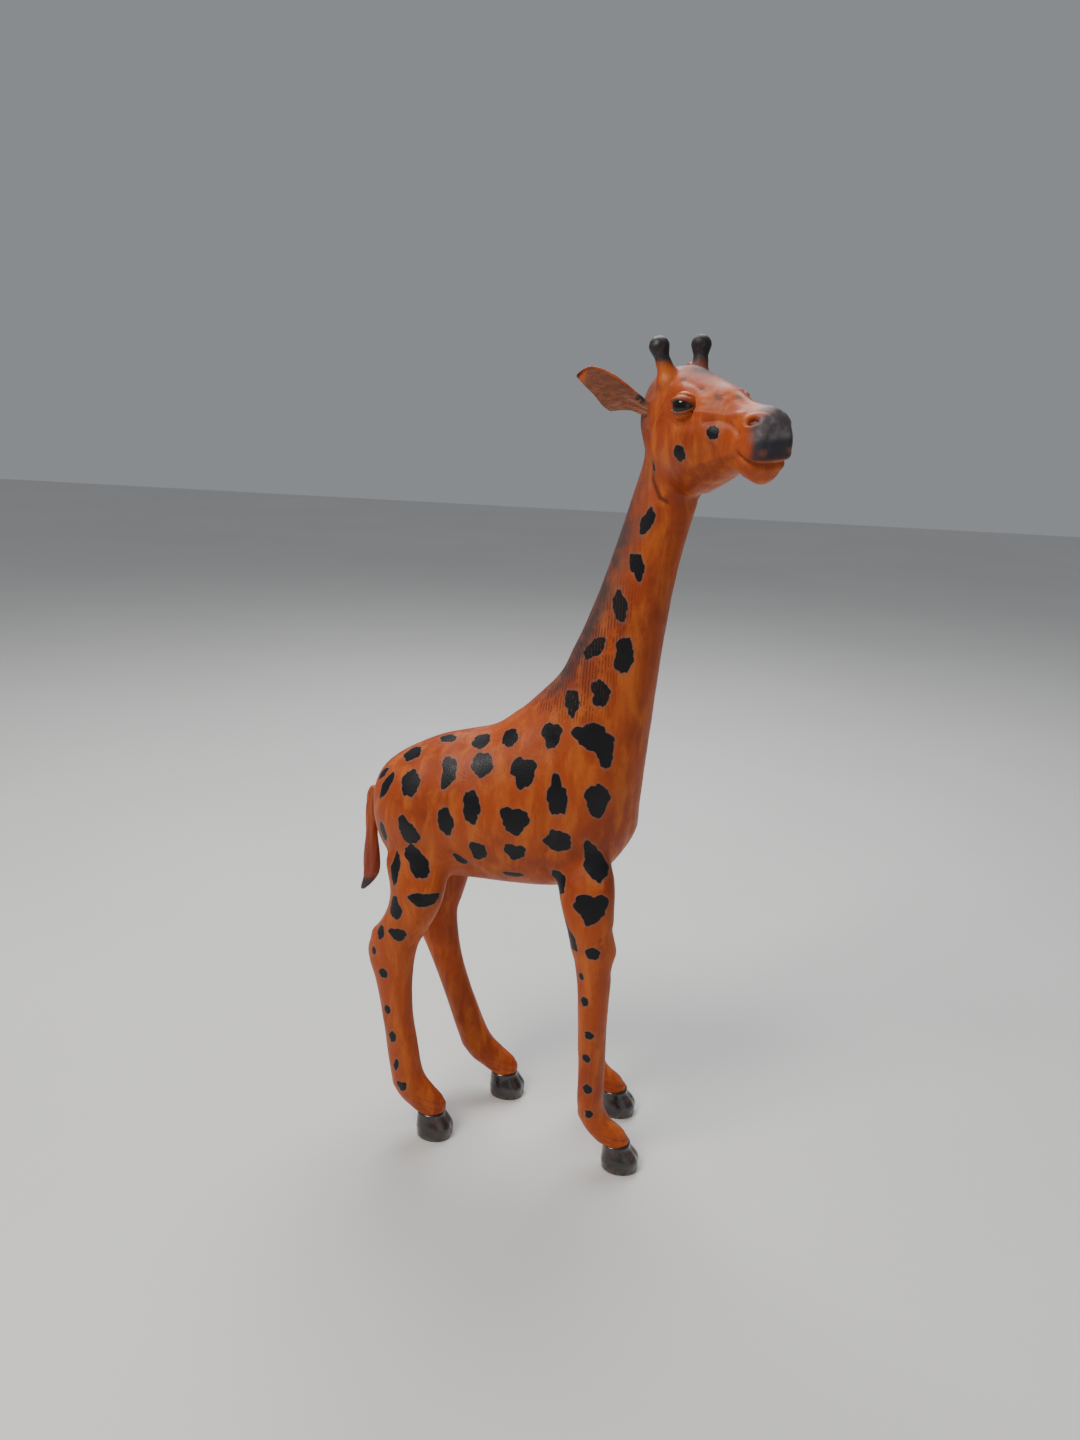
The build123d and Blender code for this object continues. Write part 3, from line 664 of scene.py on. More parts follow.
def paint_regions(points, normals):
    """Weights of the airbrushed parts: mane, muzzle, lips and brow tuft, with the hair strokes, upper lip and
    nostrils.
    """
    head = head_places(points)
    folded = mirrored(head, 0)
    sideways = np.abs(points[:, 1] - MIDDLE_Y)
    # the mane runs down the nape and fades out at the withers
    nape = np.clip(-(normals @ np.array((0.72, 0, -0.69))), -1, 1)
    along = (ramp(points[:, 2], 216, 236) * ramp(head[:, 0], -8, -17)
             * (1 - 0.45 * ramp(points[:, 2], 290, 325)))
    mane = ramp(nape, -0.05, 0.75) * along * ramp(sideways, 17, 8)
    strokes = ramp(nape, -0.25, 0.25) * ramp(points[:, 2], 213, 222) * ramp(points[:, 2], 290, 255)
    grey = ramp(folded[:, 0] - 0.30 * folded[:, 2] * (folded[:, 2] > 0)
                + 0.55 * (folded[:, 2] + 3) * (folded[:, 2] < -3), 30.0, 37.5)
    top = mound(folded, (34, 0, 4.5), (9, 8, 5))
    muzzle = np.clip(np.maximum(grey * ramp(folded[:, 2], -13.5, -10.5), 0.95 * top), 0, 1)
    lips = mound(folded, (38, 6.5, -10.0), (4.5, 4, 3.2)) * ramp(folded[:, 2], -13.8, -12.5)
    upper_lip = (ramp(folded[:, 2], -3.0, -8.0) * ramp(folded[:, 2], -14.5, -12.0)
                 * ramp(folded[:, 0], 33.5, 38.5))
    tuft = mound(folded, (-8, 0, 12.5), (13, 7.0, 8)) * ramp(folded[:, 2], 6.0, 9.5)
    nostril = mound(folded, (32.4, 8.4, -0.1), (3.4, 4.5, 2.4))
    return {"nostril": nostril, "mane": mane, "strokes": strokes, "muzzle": muzzle, "lips": lips,
            "upper_lip": upper_lip, "tuft": np.clip(tuft * 1.3, 0, 1)}


# ------------------------------------------------------------------ hide pieces out of the skin
def vertex_normals(mesh):
    flat = np.empty(len(mesh.vertices) * 3, dtype=np.float32)
    mesh.vertex_normals.foreach_get("vector", flat)
    return flat.reshape(-1, 3).astype(float)


def hide_piece(name, skin_points, skin_normals, faces, values):
    """Closed piece of hide: the outer faces, the same faces set in, and a rim between them."""
    used = np.unique(np.concatenate([np.array(f) for f in faces]))
    number = np.full(len(skin_points), -1)
    number[used] = np.arange(len(used))
    count = len(used)
    outer = [[int(number[v]) for v in face] for face in faces]
    inner = [[v + count for v in reversed(face)] for face in outer]
    seen = {}
    for face in outer:
        for a, b in zip(face, face[1:] + face[:1]):
            seen[(a, b)] = True
    rim = [[b, a, a + count, b + count] for a, b in seen if (b, a) not in seen]
    points = np.concatenate([skin_points[used], skin_points[used] - skin_normals[used] * HIDE_THICKNESS])
    mesh = new_mesh(name, points, outer + inner + rim)
    for key, data in values.items():
        attribute(mesh, key, np.concatenate([data[used], data[used]]))
    normals = np.concatenate([skin_normals[used], -skin_normals[used]])
    loops = np.empty(len(mesh.loops), dtype=np.int32)
    mesh.loops.foreach_get("vertex_index", loops)
    mesh.normals_split_custom_set([tuple(n) for n in normals[loops]])
    return new_object(name, mesh)


PIECE_NAMES = {
    "trunk_leather": "trunk_hide", "neck_leather": "neck_hide", "head_leather": "head_hide",
    **{LEG_NODES[leg]: leg + "_leg_hide" for leg in LEGS},
    **{OSSICONE_NODES[side]: side + "_ossicone" for side in SIDES},
}


def dress_skin():
    """Everything from the joined surface to the separate painted hide pieces."""
    skin = make_skin()
    mesh = skin.data
    points = smooth_keeping_size(coords(mesh), edge_pairs(mesh), 8)
    points = relax_region(points, edge_pairs(mesh), 60, 0.6, blend_weights(points))
    points = relax_region(points, edge_pairs(mesh), 400, 0.7, saddle_weights(points))
    set_coords(mesh, points)
    refine(mesh, near_head)
    refine(mesh, near_eyes)
    pairs = edge_pairs(mesh)
    points = smooth_keeping_size(coords(mesh), pairs, 6)
    set_coords(mesh, points)
    owner_number = settle_owner(nearest_owner(points), pairs, 4)
    owner = np.array(HIDE_NODES)[owner_number]
    normals = vertex_normals(mesh)
    relief = body_relief(points, normals) + head_relief(points) + leg_relief(points, owner)
    relief += 0.10 * soft_noise(points, 9.0, SEED) + 0.05 * soft_noise(points, 3.2, SEED + 1)
    points = points + normals * relief[:, None]
    points = relax(points, pairs, 2, 0.4)
    points, lid_edge = open_eyes(points)
    set_coords(mesh, points)
    normals = vertex_normals(mesh)
    # hollow: how far each point lies below its smoothed surroundings, used for painted shade in creases and
    # painted highlight on raised parts
    hollow = relax(relief[:, None].repeat(3, axis=1), pairs, 12, 0.6)[:, 0] - relief
    tree = BVHTree.FromPolygons([v.co for v in mesh.vertices], [p.vertices for p in mesh.polygons])
    dark, faint = paint_spots(points, normals, tree)
    values = {"spot": dark, "faint": faint, "lid": lid_edge, "hollow": hollow}
    values.update(paint_regions(points, normals))
    cap = np.zeros(len(points))
    for node in OSSICONE_NODES.values():
        top = box_mm(node)[1][2]
        cap = np.where(owner == node, ramp(points[:, 2], top - 13.0, top - 6.0), cap)
    values["cap"] = cap
    shaft = np.isin(owner, list(OSSICONE_NODES.values())) & (points[:, 1] > MIDDLE_Y - 4)
    values["smoke"] = np.where(shaft, 0.75, 0.0)
    face_sets = {node: [] for node in HIDE_NODES}
    for polygon in mesh.polygons:
        corners = list(polygon.vertices)
        votes = [int(owner_number[v]) for v in corners]
        face_sets[HIDE_NODES[max(set(votes), key=votes.count)]].append(corners)
    pieces = {}
    for node, faces in face_sets.items():
        pieces[node] = hide_piece(PIECE_NAMES[node], points, normals, faces, values)
        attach(pieces[node], "root")
        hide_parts(node)
    bpy.data.objects.remove(skin)
    return pieces, tree


# ------------------------------------------------------------------ carved wood under the hide
CORE_VOXEL = 1.0
CORE_GAP = 0.15        # between the inside of the sculpted hide and the wood


def carve_core(node, skin_tree):
    """Copy of a core, cut back wherever the sculpted hide comes near it."""
    core = new_object("carved_" + node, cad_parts[node].data.copy())
    voxel_remesh(core, CORE_VOXEL)
    points = coords(core.data)
    clearance = HIDE_THICKNESS + CORE_GAP
    for index, place in enumerate(points):
        hit, normal, _, _ = skin_tree.find_nearest(Vector(place * MM))
        inside = (hit - Vector(place * MM)).dot(normal) / MM
        if inside < clearance:
            points[index] = np.array(hit) / MM - np.array(normal) * clearance
    set_coords(core.data, points)
    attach(core, "root")
    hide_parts(node)
    return core


# ------------------------------------------------------------------ ears
EAR_LENGTH = 33.0
EAR_ROOT = (-21.0, 12.2, -4.0)
EAR_RUN = (-0.75, 0.50, 0.25)
EAR_BURIED = 2.4
# Edges of the ear along its length: share of length, height above the stem's line, as in shares of length.
EAR_TOP = [(-0.08, 0.075), (0.05, 0.085), (0.18, 0.12), (0.32, 0.18), (0.50, 0.235), (0.68, 0.245),
           (0.84, 0.215), (0.94, 0.13), (1.0, 0.02)]
EAR_LOW = [(-0.08, -0.075), (0.05, -0.10), (0.18, -0.10), (0.32, -0.15), (0.43, -0.21), (0.55, -0.185),
           (0.70, -0.11), (0.86, -0.055), (1.0, -0.005)]


def make_ear(side):
    """Leaf of hide, cupped lengthwise, its upper edge rolled over and its tip curled back."""
    sign = SIDES[side]
    along = np.array([EAR_RUN[0], sign * EAR_RUN[1], EAR_RUN[2]]) @ HEAD_AXES
    along /= np.linalg.norm(along)
    facing = np.array([0.55, sign * 0.83, 0.0]) @ HEAD_AXES
    facing -= along * (facing @ along)
    facing /= np.linalg.norm(facing)
    over = np.cross(facing, along)
    if over[2] < 0:
        over = -over
    root = head_point(EAR_ROOT[0], sign * EAR_ROOT[1], EAR_ROOT[2])
    rows, columns = 46, 25
    shares = np.linspace(-EAR_BURIED / EAR_LENGTH, 1.0, rows)
    top = np.interp(shares, *zip(*EAR_TOP)) * EAR_LENGTH
    low = np.interp(shares, *zip(*EAR_LOW)) * EAR_LENGTH
    for edge in (top, low):
        edge[1:-1] = (edge[:-2] + 2 * edge[1:-1] + edge[2:]) / 4
    front, back = [], []
    for share, high, bottom in zip(shares, top, low):
        for column in range(columns):
            across = column / (columns - 1)
            height = bottom + (high - bottom) * across
            middle = (high + bottom) / 2
            half = max((high - bottom) / 2, 0.3)
            cup = -1.9 * (1 - ((height - middle) / half) ** 2) * ramp(np.array(share), 0.95, 0.2) * half / 6.5
            roll = 1.1 * ramp(np.array(across), 0.80, 1.0) * ramp(np.array(share), 0.1, 0.5)
            curl = -2.6 * ramp(np.array(share), 0.55, 1.05)
            rib = 0.35 * math.exp(-((across - 0.42) / 0.10) ** 2) * ramp(np.array(share), 0.9, 0.1)
            ripple = 0.35 * math.sin(share * 15 + 1.3) * ramp(np.array(across), 0.45, 0.0)
            lift = cup + roll + curl + rib + ripple + 1.0
            thick = 0.55 * min(1.0, 0.25 + 4 * min(across, 1 - across), 0.3 + 5 * (1 - share))
            point = root + along * share * EAR_LENGTH + over * (height - roll * 0.4) + facing * lift
            front.append(point + facing * thick)
            back.append(point - facing * thick)
    points = front + back
    count = rows * columns
    faces = []
    for row in range(rows - 1):
        for column in range(columns - 1):
            a = row * columns + column
            quad = [a, a + 1, a + columns + 1, a + columns]
            faces.append(quad)
            faces.append([v + count for v in reversed(quad)])
    border = [column for column in range(columns)]
    border += [row * columns + columns - 1 for row in range(1, rows)]
    border += [(rows - 1) * columns + column for column in range(columns - 2, -1, -1)]
    border += [row * columns for row in range(rows - 2, 0, -1)]
    for a, b in zip(border, border[1:] + border[:1]):
        faces.append([b, a, a + count, b + count])
    mesh = new_mesh(side + "_ear_leaf", points, faces)
    share = np.tile(np.repeat(shares, columns), 2)
    across = np.tile(np.tile(np.linspace(0, 1, columns), rows), 2)
    # inner: the cupped inside face, which the ear material darkens as painted shade
    attribute(mesh, "inner", np.concatenate([np.ones(count), np.zeros(count)])
              * ramp(across, 0.97, 0.80) * ramp(share, 0.98, 0.8))
    attribute(mesh, "stem", share)
    attribute(mesh, "across", across)
    ear = new_object(side + "_ear_leaf", mesh)
    recalculate(ear.data)
    modifier = ear.modifiers.new("smooth", "SUBSURF")
    modifier.levels = 1
    bake_modifiers(ear)
    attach(ear, "root")
    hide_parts(side + "_ear")
    return ear


def recalculate(mesh):
    work = bmesh.new()
    work.from_mesh(mesh)
    bmesh.ops.recalc_face_normals(work, faces=work.faces)
    work.to_mesh(mesh)
    work.free()


# ------------------------------------------------------------------ hooves
def make_hoof(leg):
    """Rounded hoof with a shallow cleft in front, a notch at the heel and a drawn-in bottom edge."""
    node = leg + "_hoof"
    low, high = box_mm(node)
    middle, half = (low + high) / 2, (high - low) / 2
    solid = coords(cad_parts[node].data)
    coronet = solid[solid[:, 2] > high[2] - 0.05]
    ankle = (coronet.min(axis=0) + coronet.max(axis=0)) / 2
    ankle_half = (coronet.max(axis=0) - coronet.min(axis=0)) / 2
    rings, steps = 26, 64
    points = []
    for ring in range(rings):
        share = ring / (rings - 1)
        height = high[2] * share
        lean = ramp(np.array(share), 0.35, 1.0)
        centre_x = middle[0] * (1 - lean) + ankle[0] * lean
        wide = half[1] * (1 - lean) + ankle_half[1] * lean
        deep = half[0] * (1 - lean) + ankle_half[0] * lean
        swell = 1 - 0.05 * (1 - share) ** 3 - (0.10 if ring == 0 else 0.0)
        for step in range(steps):
            angle = 2 * math.pi * step / steps
            c, s = math.cos(angle), math.sin(angle)
            round_c = math.copysign(abs(c) ** 0.9, c)
            round_s = math.copysign(abs(s) ** 0.9, s)
            cleft = 0.9 * math.exp(-(s / 0.13) ** 2) * (c > 0) * (1 - share) ** 0.6 * (share < 0.95)
            heel = 0.6 * math.exp(-(s / 0.2) ** 2) * (c < 0) * (1 - share)
            out = swell
            points.append((centre_x + (deep * round_c * out) - (cleft if c > 0 else -heel),
                           middle[1] + wide * round_s * out, height))
    faces = []
    for ring in range(rings - 1):
        for step in range(steps):
            a, b = ring * steps + step, ring * steps + (step + 1) % steps
            faces.append([a, b, b + steps, a + steps])
    for ring, flip in ((0, True), (rings - 1, False)):
        loop = [ring * steps + step for step in range(steps)]
        faces.append(loop[::-1] if flip else loop)
    points = np.array(points)
    outline = points.copy()
    unevenness = 0.14 * soft_noise(points, 3.5, SEED + len(leg))[:, None]
    outline[:, :2] += unevenness * ramp(points[:, 2], 0, 2)[:, None]
    mesh = new_mesh(node + "_shell", outline, faces)
    attribute(mesh, "rise", points[:, 2] / high[2])
    hoof = new_object(node + "_shell", mesh)
    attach(hoof, "root")
    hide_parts(node)
    return hoof


# ------------------------------------------------------------------ tail
# Down the tail: share of length, distance behind its line, half depth, half width.
TAIL_ROWS = [
    (-0.02, -2.5, 2.0, 1.6), (0.06, -0.6, 2.6, 2.0), (0.20, 0.0, 2.8, 2.2), (0.42, 0.1, 2.9, 2.2),
    (0.62, 0.2, 3.8, 2.3), (0.74, 0.3, 4.3, 2.5), (0.82, 0.4, 4.2, 2.5), (0.88, 1.3, 3.2, 2.2),
    (0.93, 2.8, 2.5, 1.9), (0.97, 4.2, 2.0, 1.5), (1.0, 5.2, 1.0, 0.8),
]


def make_tail():
    """Flat strip of hide folded round its wire, and the dark flicked end."""
    hide_low, hide_high = box_mm("tail_leather")
    tuft_low = box_mm("tail_tuft")[0]
    top, bottom = hide_high[2], tuft_low[2]
    line_x = hide_high[0] - 3.9
    line_y = (hide_low[1] + hide_high[1]) / 2
    rows = 70
    shares = np.linspace(TAIL_ROWS[0][0], 1.0, rows)
    columns = list(zip(*TAIL_ROWS))
    behind, deep, wide = (np.interp(shares, columns[0], column) for column in columns[1:])
    for edge in (behind, deep, wide):
        for _ in range(6):
            edge[1:-1] = (edge[:-2] + 2 * edge[1:-1] + edge[2:]) / 4
    split = (top - hide_low[2]) / (top - bottom)
    pieces = []
    parts = (("tail_strip", "tail_leather", -1.0, split), ("tail_end", "tail_tuft", split, 2.0))
    for name, node, first, last in parts:
        wanted = [i for i in range(rows) if first - 0.008 <= shares[i] <= last + 0.008]
        steps = 40
        points, level = [], []
        for i in wanted:
            z = min(top - shares[i] * (top - bottom), top)
            for step in range(steps):
                angle = 2 * math.pi * step / steps
                groove = 0.35 * math.exp(-((math.cos(angle) + 0.1) / 0.18) ** 2) * (math.sin(angle) < 0)
                pinch = 1 + 0.04 * math.sin(6 * angle + 20 * shares[i])
                points.append((line_x - behind[i] + deep[i] * math.cos(angle) * pinch,
                               line_y + (wide[i] - groove) * math.sin(angle) * pinch, z))
                level.append(shares[i])
        faces = []
        for ring in range(len(wanted) - 1):
            for step in range(steps):
                a, b = ring * steps + step, ring * steps + (step + 1) % steps
                faces.append([a, b, b + steps, a + steps])
        faces.append([step for step in range(steps)][::-1])
        faces.append([(len(wanted) - 1) * steps + step for step in range(steps)])
        mesh = new_mesh(name, points, faces)
        recalculate(mesh)
        attribute(mesh, "level", level)
        piece = new_object(name, mesh)
        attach(piece, "root")
        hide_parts(node)
        pieces.append(piece)
    return pieces


# ------------------------------------------------------------------ eyes
def make_eye(side):
    """Glass eye, a full ball with a raised clear front."""
    centre = EYES[side]
    work = bmesh.new()
    bmesh.ops.create_icosphere(work, subdivisions=5, radius=EYE_RADIUS * MM)
    mesh = bpy.data.meshes.new(side + "_glass_eye")
    work.to_mesh(mesh)
    work.free()
    local = coords(mesh)
    outward = np.array([0.30, SIDES[side] * 0.95, 0.04]) @ HEAD_AXES
    outward /= np.linalg.norm(outward)
    front = (local / EYE_RADIUS) @ outward
    attribute(mesh, "front", front)
    set_coords(mesh, local * (0.988 + 0.012 * ramp(front, 0.75, 0.95))[:, None] + centre)
    mesh.polygons.foreach_set("use_smooth", np.ones(len(mesh.polygons), dtype=bool))
    eye = new_object(side + "_glass_eye", mesh)
    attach(eye, "root")
    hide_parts(side + "_eye")
    return eye


# ------------------------------------------------------------------ materials
class Nodes:
    """Short names for building one material's node tree."""

    def __init__(self, name):
        self.material = bpy.data.materials.new(name)
        self.material.use_nodes = True
        self.tree = self.material.node_tree
        self.shader = self.tree.nodes["Principled BSDF"]
        self.place = self.add("ShaderNodeTexCoord").outputs["Object"]

    def add(self, kind, **settings):
        node = self.tree.nodes.new(kind)
        for key, value in settings.items():
            setattr(node, key, value)
        return node

    def link(self, source, target):
        self.tree.links.new(source, target)

    def put(self, socket, value):
        if isinstance(value, bpy.types.NodeSocket):
            self.link(value, socket)
        elif value is not None:
            socket.default_value = value

    def value(self, name):
        return self.add("ShaderNodeAttribute", attribute_name=name).outputs["Fac"]

    def stretched(self, scale):
        node = self.add("ShaderNodeMapping")
        self.link(self.place, node.inputs["Vector"])
        node.inputs["Scale"].default_value = scale
        return node.outputs["Vector"]

    def noise(self, scale, detail=3.0, rough=0.55, place=None, warp=0.0):
        node = self.add("ShaderNodeTexNoise")
        self.link(place or self.place, node.inputs["Vector"])
        node.inputs["Scale"].default_value = scale
        node.inputs["Detail"].default_value = detail
        node.inputs["Roughness"].default_value = rough
        node.inputs["Distortion"].default_value = warp
        return node.outputs["Fac"]

    def cells(self, scale, feature="DISTANCE_TO_EDGE", place=None):
        node = self.add("ShaderNodeTexVoronoi", feature=feature)
        self.link(place or self.place, node.inputs["Vector"])
        node.inputs["Scale"].default_value = scale
        return node.outputs["Distance"]

    def sum(self, kind, a, b=None, clamp=False):
        node = self.add("ShaderNodeMath", operation=kind, use_clamp=clamp)
        self.put(node.inputs[0], a)
        self.put(node.inputs[1], b)
        return node.outputs[0]

    def ramp(self, value, low, high, start=0.0, end=1.0):
        node = self.add("ShaderNodeMapRange", interpolation_type="SMOOTHSTEP")
        self.put(node.inputs["Value"], value)
        for name, number in (("From Min", low), ("From Max", high), ("To Min", start), ("To Max", end)):
            node.inputs[name].default_value = number
        return node.outputs["Result"]

    def mix(self, share, a, b, kind="MIX"):
        node = self.add("ShaderNodeMix", data_type="RGBA", blend_type=kind)
        self.put(node.inputs["Factor"], share)
        for socket, colour in ((node.inputs[6], a), (node.inputs[7], b)):
            self.put(socket, (*colour, 1) if isinstance(colour, tuple) else colour)
        return node.outputs[2]

    def bump(self, height, strength, distance, under=None):
        node = self.add("ShaderNodeBump")
        self.put(node.inputs["Height"], height)
        node.inputs["Strength"].default_value = strength
        node.inputs["Distance"].default_value = distance * MM
        if under is not None:
            self.link(under, node.inputs["Normal"])
        return node.outputs["Normal"]

    def finish(self, colour, rough, normal=None, **fixed):
        self.put(self.shader.inputs["Base Color"], (*colour, 1) if isinstance(colour, tuple) else colour)
        self.put(self.shader.inputs["Roughness"], rough)
        if normal is not None:
            self.link(normal, self.shader.inputs["Normal"])
        for name, number in fixed.items():
            self.shader.inputs[name.replace("_", " ")].default_value = number
        return self.material


TAN_LIGHT = (0.57, 0.140, 0.014)
TAN = (0.37, 0.056, 0.0055)
TAN_RED = (0.21, 0.023, 0.0035)
TAN_DARK = (0.075, 0.010, 0.003)
SPOT_BLACK = (0.004, 0.004, 0.006)
SMOKE = (0.040, 0.036, 0.038)


def leather_colour(m):
    """Mottled tan dye, rubbed unevenly by hand."""
    cloud = m.noise(28, 4, 0.6, warp=0.6)
    streak = m.noise(1, 4, 0.6, place=m.stretched((150, 150, 38)), warp=0.4)
    fleck = m.noise(420, 3, 0.6)
    colour = m.mix(m.ramp(cloud, 0.30, 0.60, 0.25, 1.0), TAN_RED, TAN)
    colour = m.mix(m.ramp(streak, 0.42, 0.72, 0.0, 0.65), colour, TAN_LIGHT)
    colour = m.mix(m.ramp(fleck, 0.58, 0.75, 0.0, 0.35), colour, TAN_RED)
    return colour


def leather_height(m):
    """Fine pores, pebbled grain and shallow wrinkles."""
    grain = m.cells(900)
    pores = m.noise(2600, 2, 0.5)
    wrinkle = m.cells(1, place=m.stretched((240, 240, 120)))
    wide = m.sum("MULTIPLY", m.ramp(wrinkle, 0.0, 0.10), 0.5)
    return m.sum("ADD", m.sum("ADD", m.ramp(grain, 0.0, 0.18), wide), pores)


def hide_material(name, capped=False):
    m = Nodes(name)
    colour = leather_colour(m)
    hollow = m.value("hollow")
    # painted shade: darker in the creases of the sculpted relief; painted highlight: lighter on its raised
    # parts
    colour = m.mix(m.ramp(hollow, 0.02, 0.40, 0.0, 0.85), colour, TAN_DARK)
    colour = m.mix(m.ramp(hollow, -0.08, -0.45, 0.0, 0.55), colour, TAN_LIGHT)
    edge_noise = m.sum("MULTIPLY", m.sum("SUBTRACT", m.noise(700, 3, 0.6), 0.5), 0.9)
    spot = m.sum("ADD", m.value("spot"), edge_noise)
    halo = m.ramp(spot, 1.3, 0.1, 0.0, 0.42)
    colour = m.mix(halo, colour, (0.17, 0.115, 0.085))
    inside = m.ramp(spot, 0.12, -0.10)
    faint = m.ramp(m.sum("ADD", m.value("faint"), edge_noise), 0.5, -0.6, 0.0, 0.62)
    colour = m.mix(faint, colour, (0.045, 0.040, 0.040))
    # airbrushed smoke on mane, muzzle, brow tuft and one ossicone
    soft = m.noise(130, 4, 0.6)
    smoke = m.sum("MAXIMUM", m.value("mane"), m.sum("MAXIMUM", m.value("tuft"), m.value("smoke")))
    smoke = m.sum("MULTIPLY", smoke, m.ramp(soft, 0.25, 0.62, 0.55, 1.0))
    colour = m.mix(m.sum("MULTIPLY", smoke, 0.93), colour, SMOKE)
    # muzzle: blue-grey with paler rubbed patches, then brown lips
    patch = m.ramp(m.noise(170, 3, 0.6), 0.45, 0.68)
    muzzle_grey = m.mix(patch, (0.072, 0.070, 0.080), (0.170, 0.155, 0.160))
    spray = m.sum("ADD", m.value("muzzle"), m.sum("MULTIPLY", edge_noise, 0.25))
    colour = m.mix(m.ramp(spray, 0.05, 0.95, 0.0, 0.95), colour, muzzle_grey)
    colour = m.mix(m.ramp(m.value("upper_lip"), 0.1, 0.9, 0.0, 0.85), colour, (0.022, 0.024, 0.034))
    colour = m.mix(m.ramp(m.value("nostril"), 0.55, 0.95, 0.0, 0.9), colour, (0.035, 0.010, 0.006))
    colour = m.mix(m.ramp(m.value("lips"), 0.35, 0.9, 0.0, 0.75), colour, (0.20, 0.065, 0.040))
    # eyelids: red-brown rim above, dark inside
    lid = m.value("lid")
    colour = m.mix(m.ramp(lid, 1.6, 0.3, 0.0, 0.7), colour, (0.085, 0.022, 0.012))
    colour = m.mix(m.ramp(lid, 0.15, -0.2), colour, (0.006, 0.005, 0.005))
    colour = m.mix(inside, colour, SPOT_BLACK)
    if capped:
        cap = m.ramp(m.sum("ADD", m.value("cap"), m.sum("MULTIPLY", edge_noise, 0.3)), 0.02, 0.75)
        patches = m.ramp(m.noise(300, 3, 0.6), 0.5, 0.75, 0.0, 0.5)
        rubbed = m.mix(patches, (0.022, 0.017, 0.017), (0.10, 0.085, 0.08))
        colour = m.mix(cap, colour, rubbed)
    height = leather_height(m)
    # hair strokes cut in beside the mane
    combed = m.add("ShaderNodeTexWave", wave_type="BANDS", bands_direction="X", wave_profile="SIN")
    m.link(m.stretched((1, 1, -0.12)), combed.inputs["Vector"])
    for socket, number in (("Scale", 235), ("Distortion", 2.6), ("Detail", 2.0), ("Detail Scale", 0.35)):
        combed.inputs[socket].default_value = number
    broken = m.ramp(m.noise(260, 2), 0.38, 0.55)
    cut = m.sum("MULTIPLY", m.ramp(combed.outputs["Fac"], 0.62, 0.88), m.value("strokes"))
    cut = m.sum("MULTIPLY", cut, broken)
    normal = m.bump(height, 0.30, 0.12)
    normal = m.bump(m.sum("MULTIPLY", cut, -1.0), 0.8, 0.45, normal)
    colour = m.mix(m.sum("MULTIPLY", cut, 0.6), colour, (0.07, 0.025, 0.012))
    rough_noise = m.noise(90, 4, 0.6)
    rough = m.ramp(rough_noise, 0.3, 0.7, 0.40, 0.58)
    rough = m.sum("ADD", rough, m.sum("MULTIPLY", inside, -0.04))
    rough = m.sum("ADD", rough, m.sum("MULTIPLY", smoke, 0.14))
    return m.finish(colour, rough, normal, Specular_IOR_Level=0.28, Coat_Weight=0.05, Coat_Roughness=0.35)


def ear_material():
    m = Nodes("ear_leather")
    colour = leather_colour(m)
    inner = m.value("inner")
    # painted shade: the cupped inside of the ear made darker, streaked with veins
    shaded_veins = m.mix(m.ramp(m.noise(1, 3, 0.6, place=m.stretched((260, 260, 700))), 0.4, 0.7),
                   (0.105, 0.032, 0.014), (0.20, 0.062, 0.022))
    colour = m.mix(m.ramp(inner, 0.25, 0.9, 0.0, 0.9), colour, shaded_veins)
    stem = m.value("stem")
    across = m.value("across")
    spot = m.sum("MULTIPLY", m.ramp(stem, 0.04, 0.08), m.ramp(stem, 0.22, 0.16))
    spot = m.sum("MULTIPLY", spot, m.ramp(across, 0.50, 0.62))
    spot = m.sum("MULTIPLY", spot, m.ramp(m.noise(500), 0.35, 0.5))
    colour = m.mix(spot, colour, SPOT_BLACK)
    tip = m.ramp(stem, 0.93, 1.0, 0.0, 0.6)
    colour = m.mix(tip, colour, TAN_DARK)
    return m.finish(colour, m.ramp(m.noise(90, 4), 0.3, 0.7, 0.40, 0.58),
                    m.bump(leather_height(m), 0.35, 0.12), Specular_IOR_Level=0.5)


def tail_material(name, dark):
    m = Nodes(name)
    colour = leather_colour(m)
    level = m.sum("ADD", m.value("level"), m.sum("MULTIPLY", m.noise(300), 0.05))
    colour = m.mix(m.ramp(level, 0.1, 0.7, 0.1, 0.85), colour, TAN_RED)
    if dark:
        streaks = m.noise(1, 3, 0.7, place=m.stretched((700, 700, 90)))
        tuft = m.mix(m.ramp(streaks, 0.4, 0.65), (0.018, 0.010, 0.008), (0.075, 0.026, 0.014))
        colour = m.mix(m.ramp(level, 0.86, 0.93), colour, tuft)
    return m.finish(colour, m.ramp(m.noise(90, 4), 0.3, 0.7, 0.36, 0.56),
                    m.bump(leather_height(m), 0.35, 0.14), Specular_IOR_Level=0.5)


def hoof_material():
    m = Nodes("hoof_lacquer")
    rise = m.value("rise")
    worn = m.ramp(m.noise(160, 4, 0.65), 0.50, 0.66)
    colour = m.mix(worn, (0.014, 0.009, 0.009), (0.060, 0.024, 0.017))
    colour = m.mix(m.sum("MULTIPLY", m.ramp(rise, 0.30, 0.0), m.ramp(m.noise(500, 3), 0.45, 0.6)), colour,
                   (0.11, 0.062, 0.040))
    ridges = m.noise(1, 2, 0.5, place=m.stretched((120, 120, 900)))
    height = m.sum("ADD", m.sum("MULTIPLY", ridges, 1.2), m.noise(700, 4, 0.6))
    return m.finish(colour, m.ramp(m.noise(240, 4), 0.35, 0.7, 0.20, 0.42), m.bump(height, 0.4, 0.18),
                    Specular_IOR_Level=0.6, Coat_Weight=0.5, Coat_Roughness=0.18)


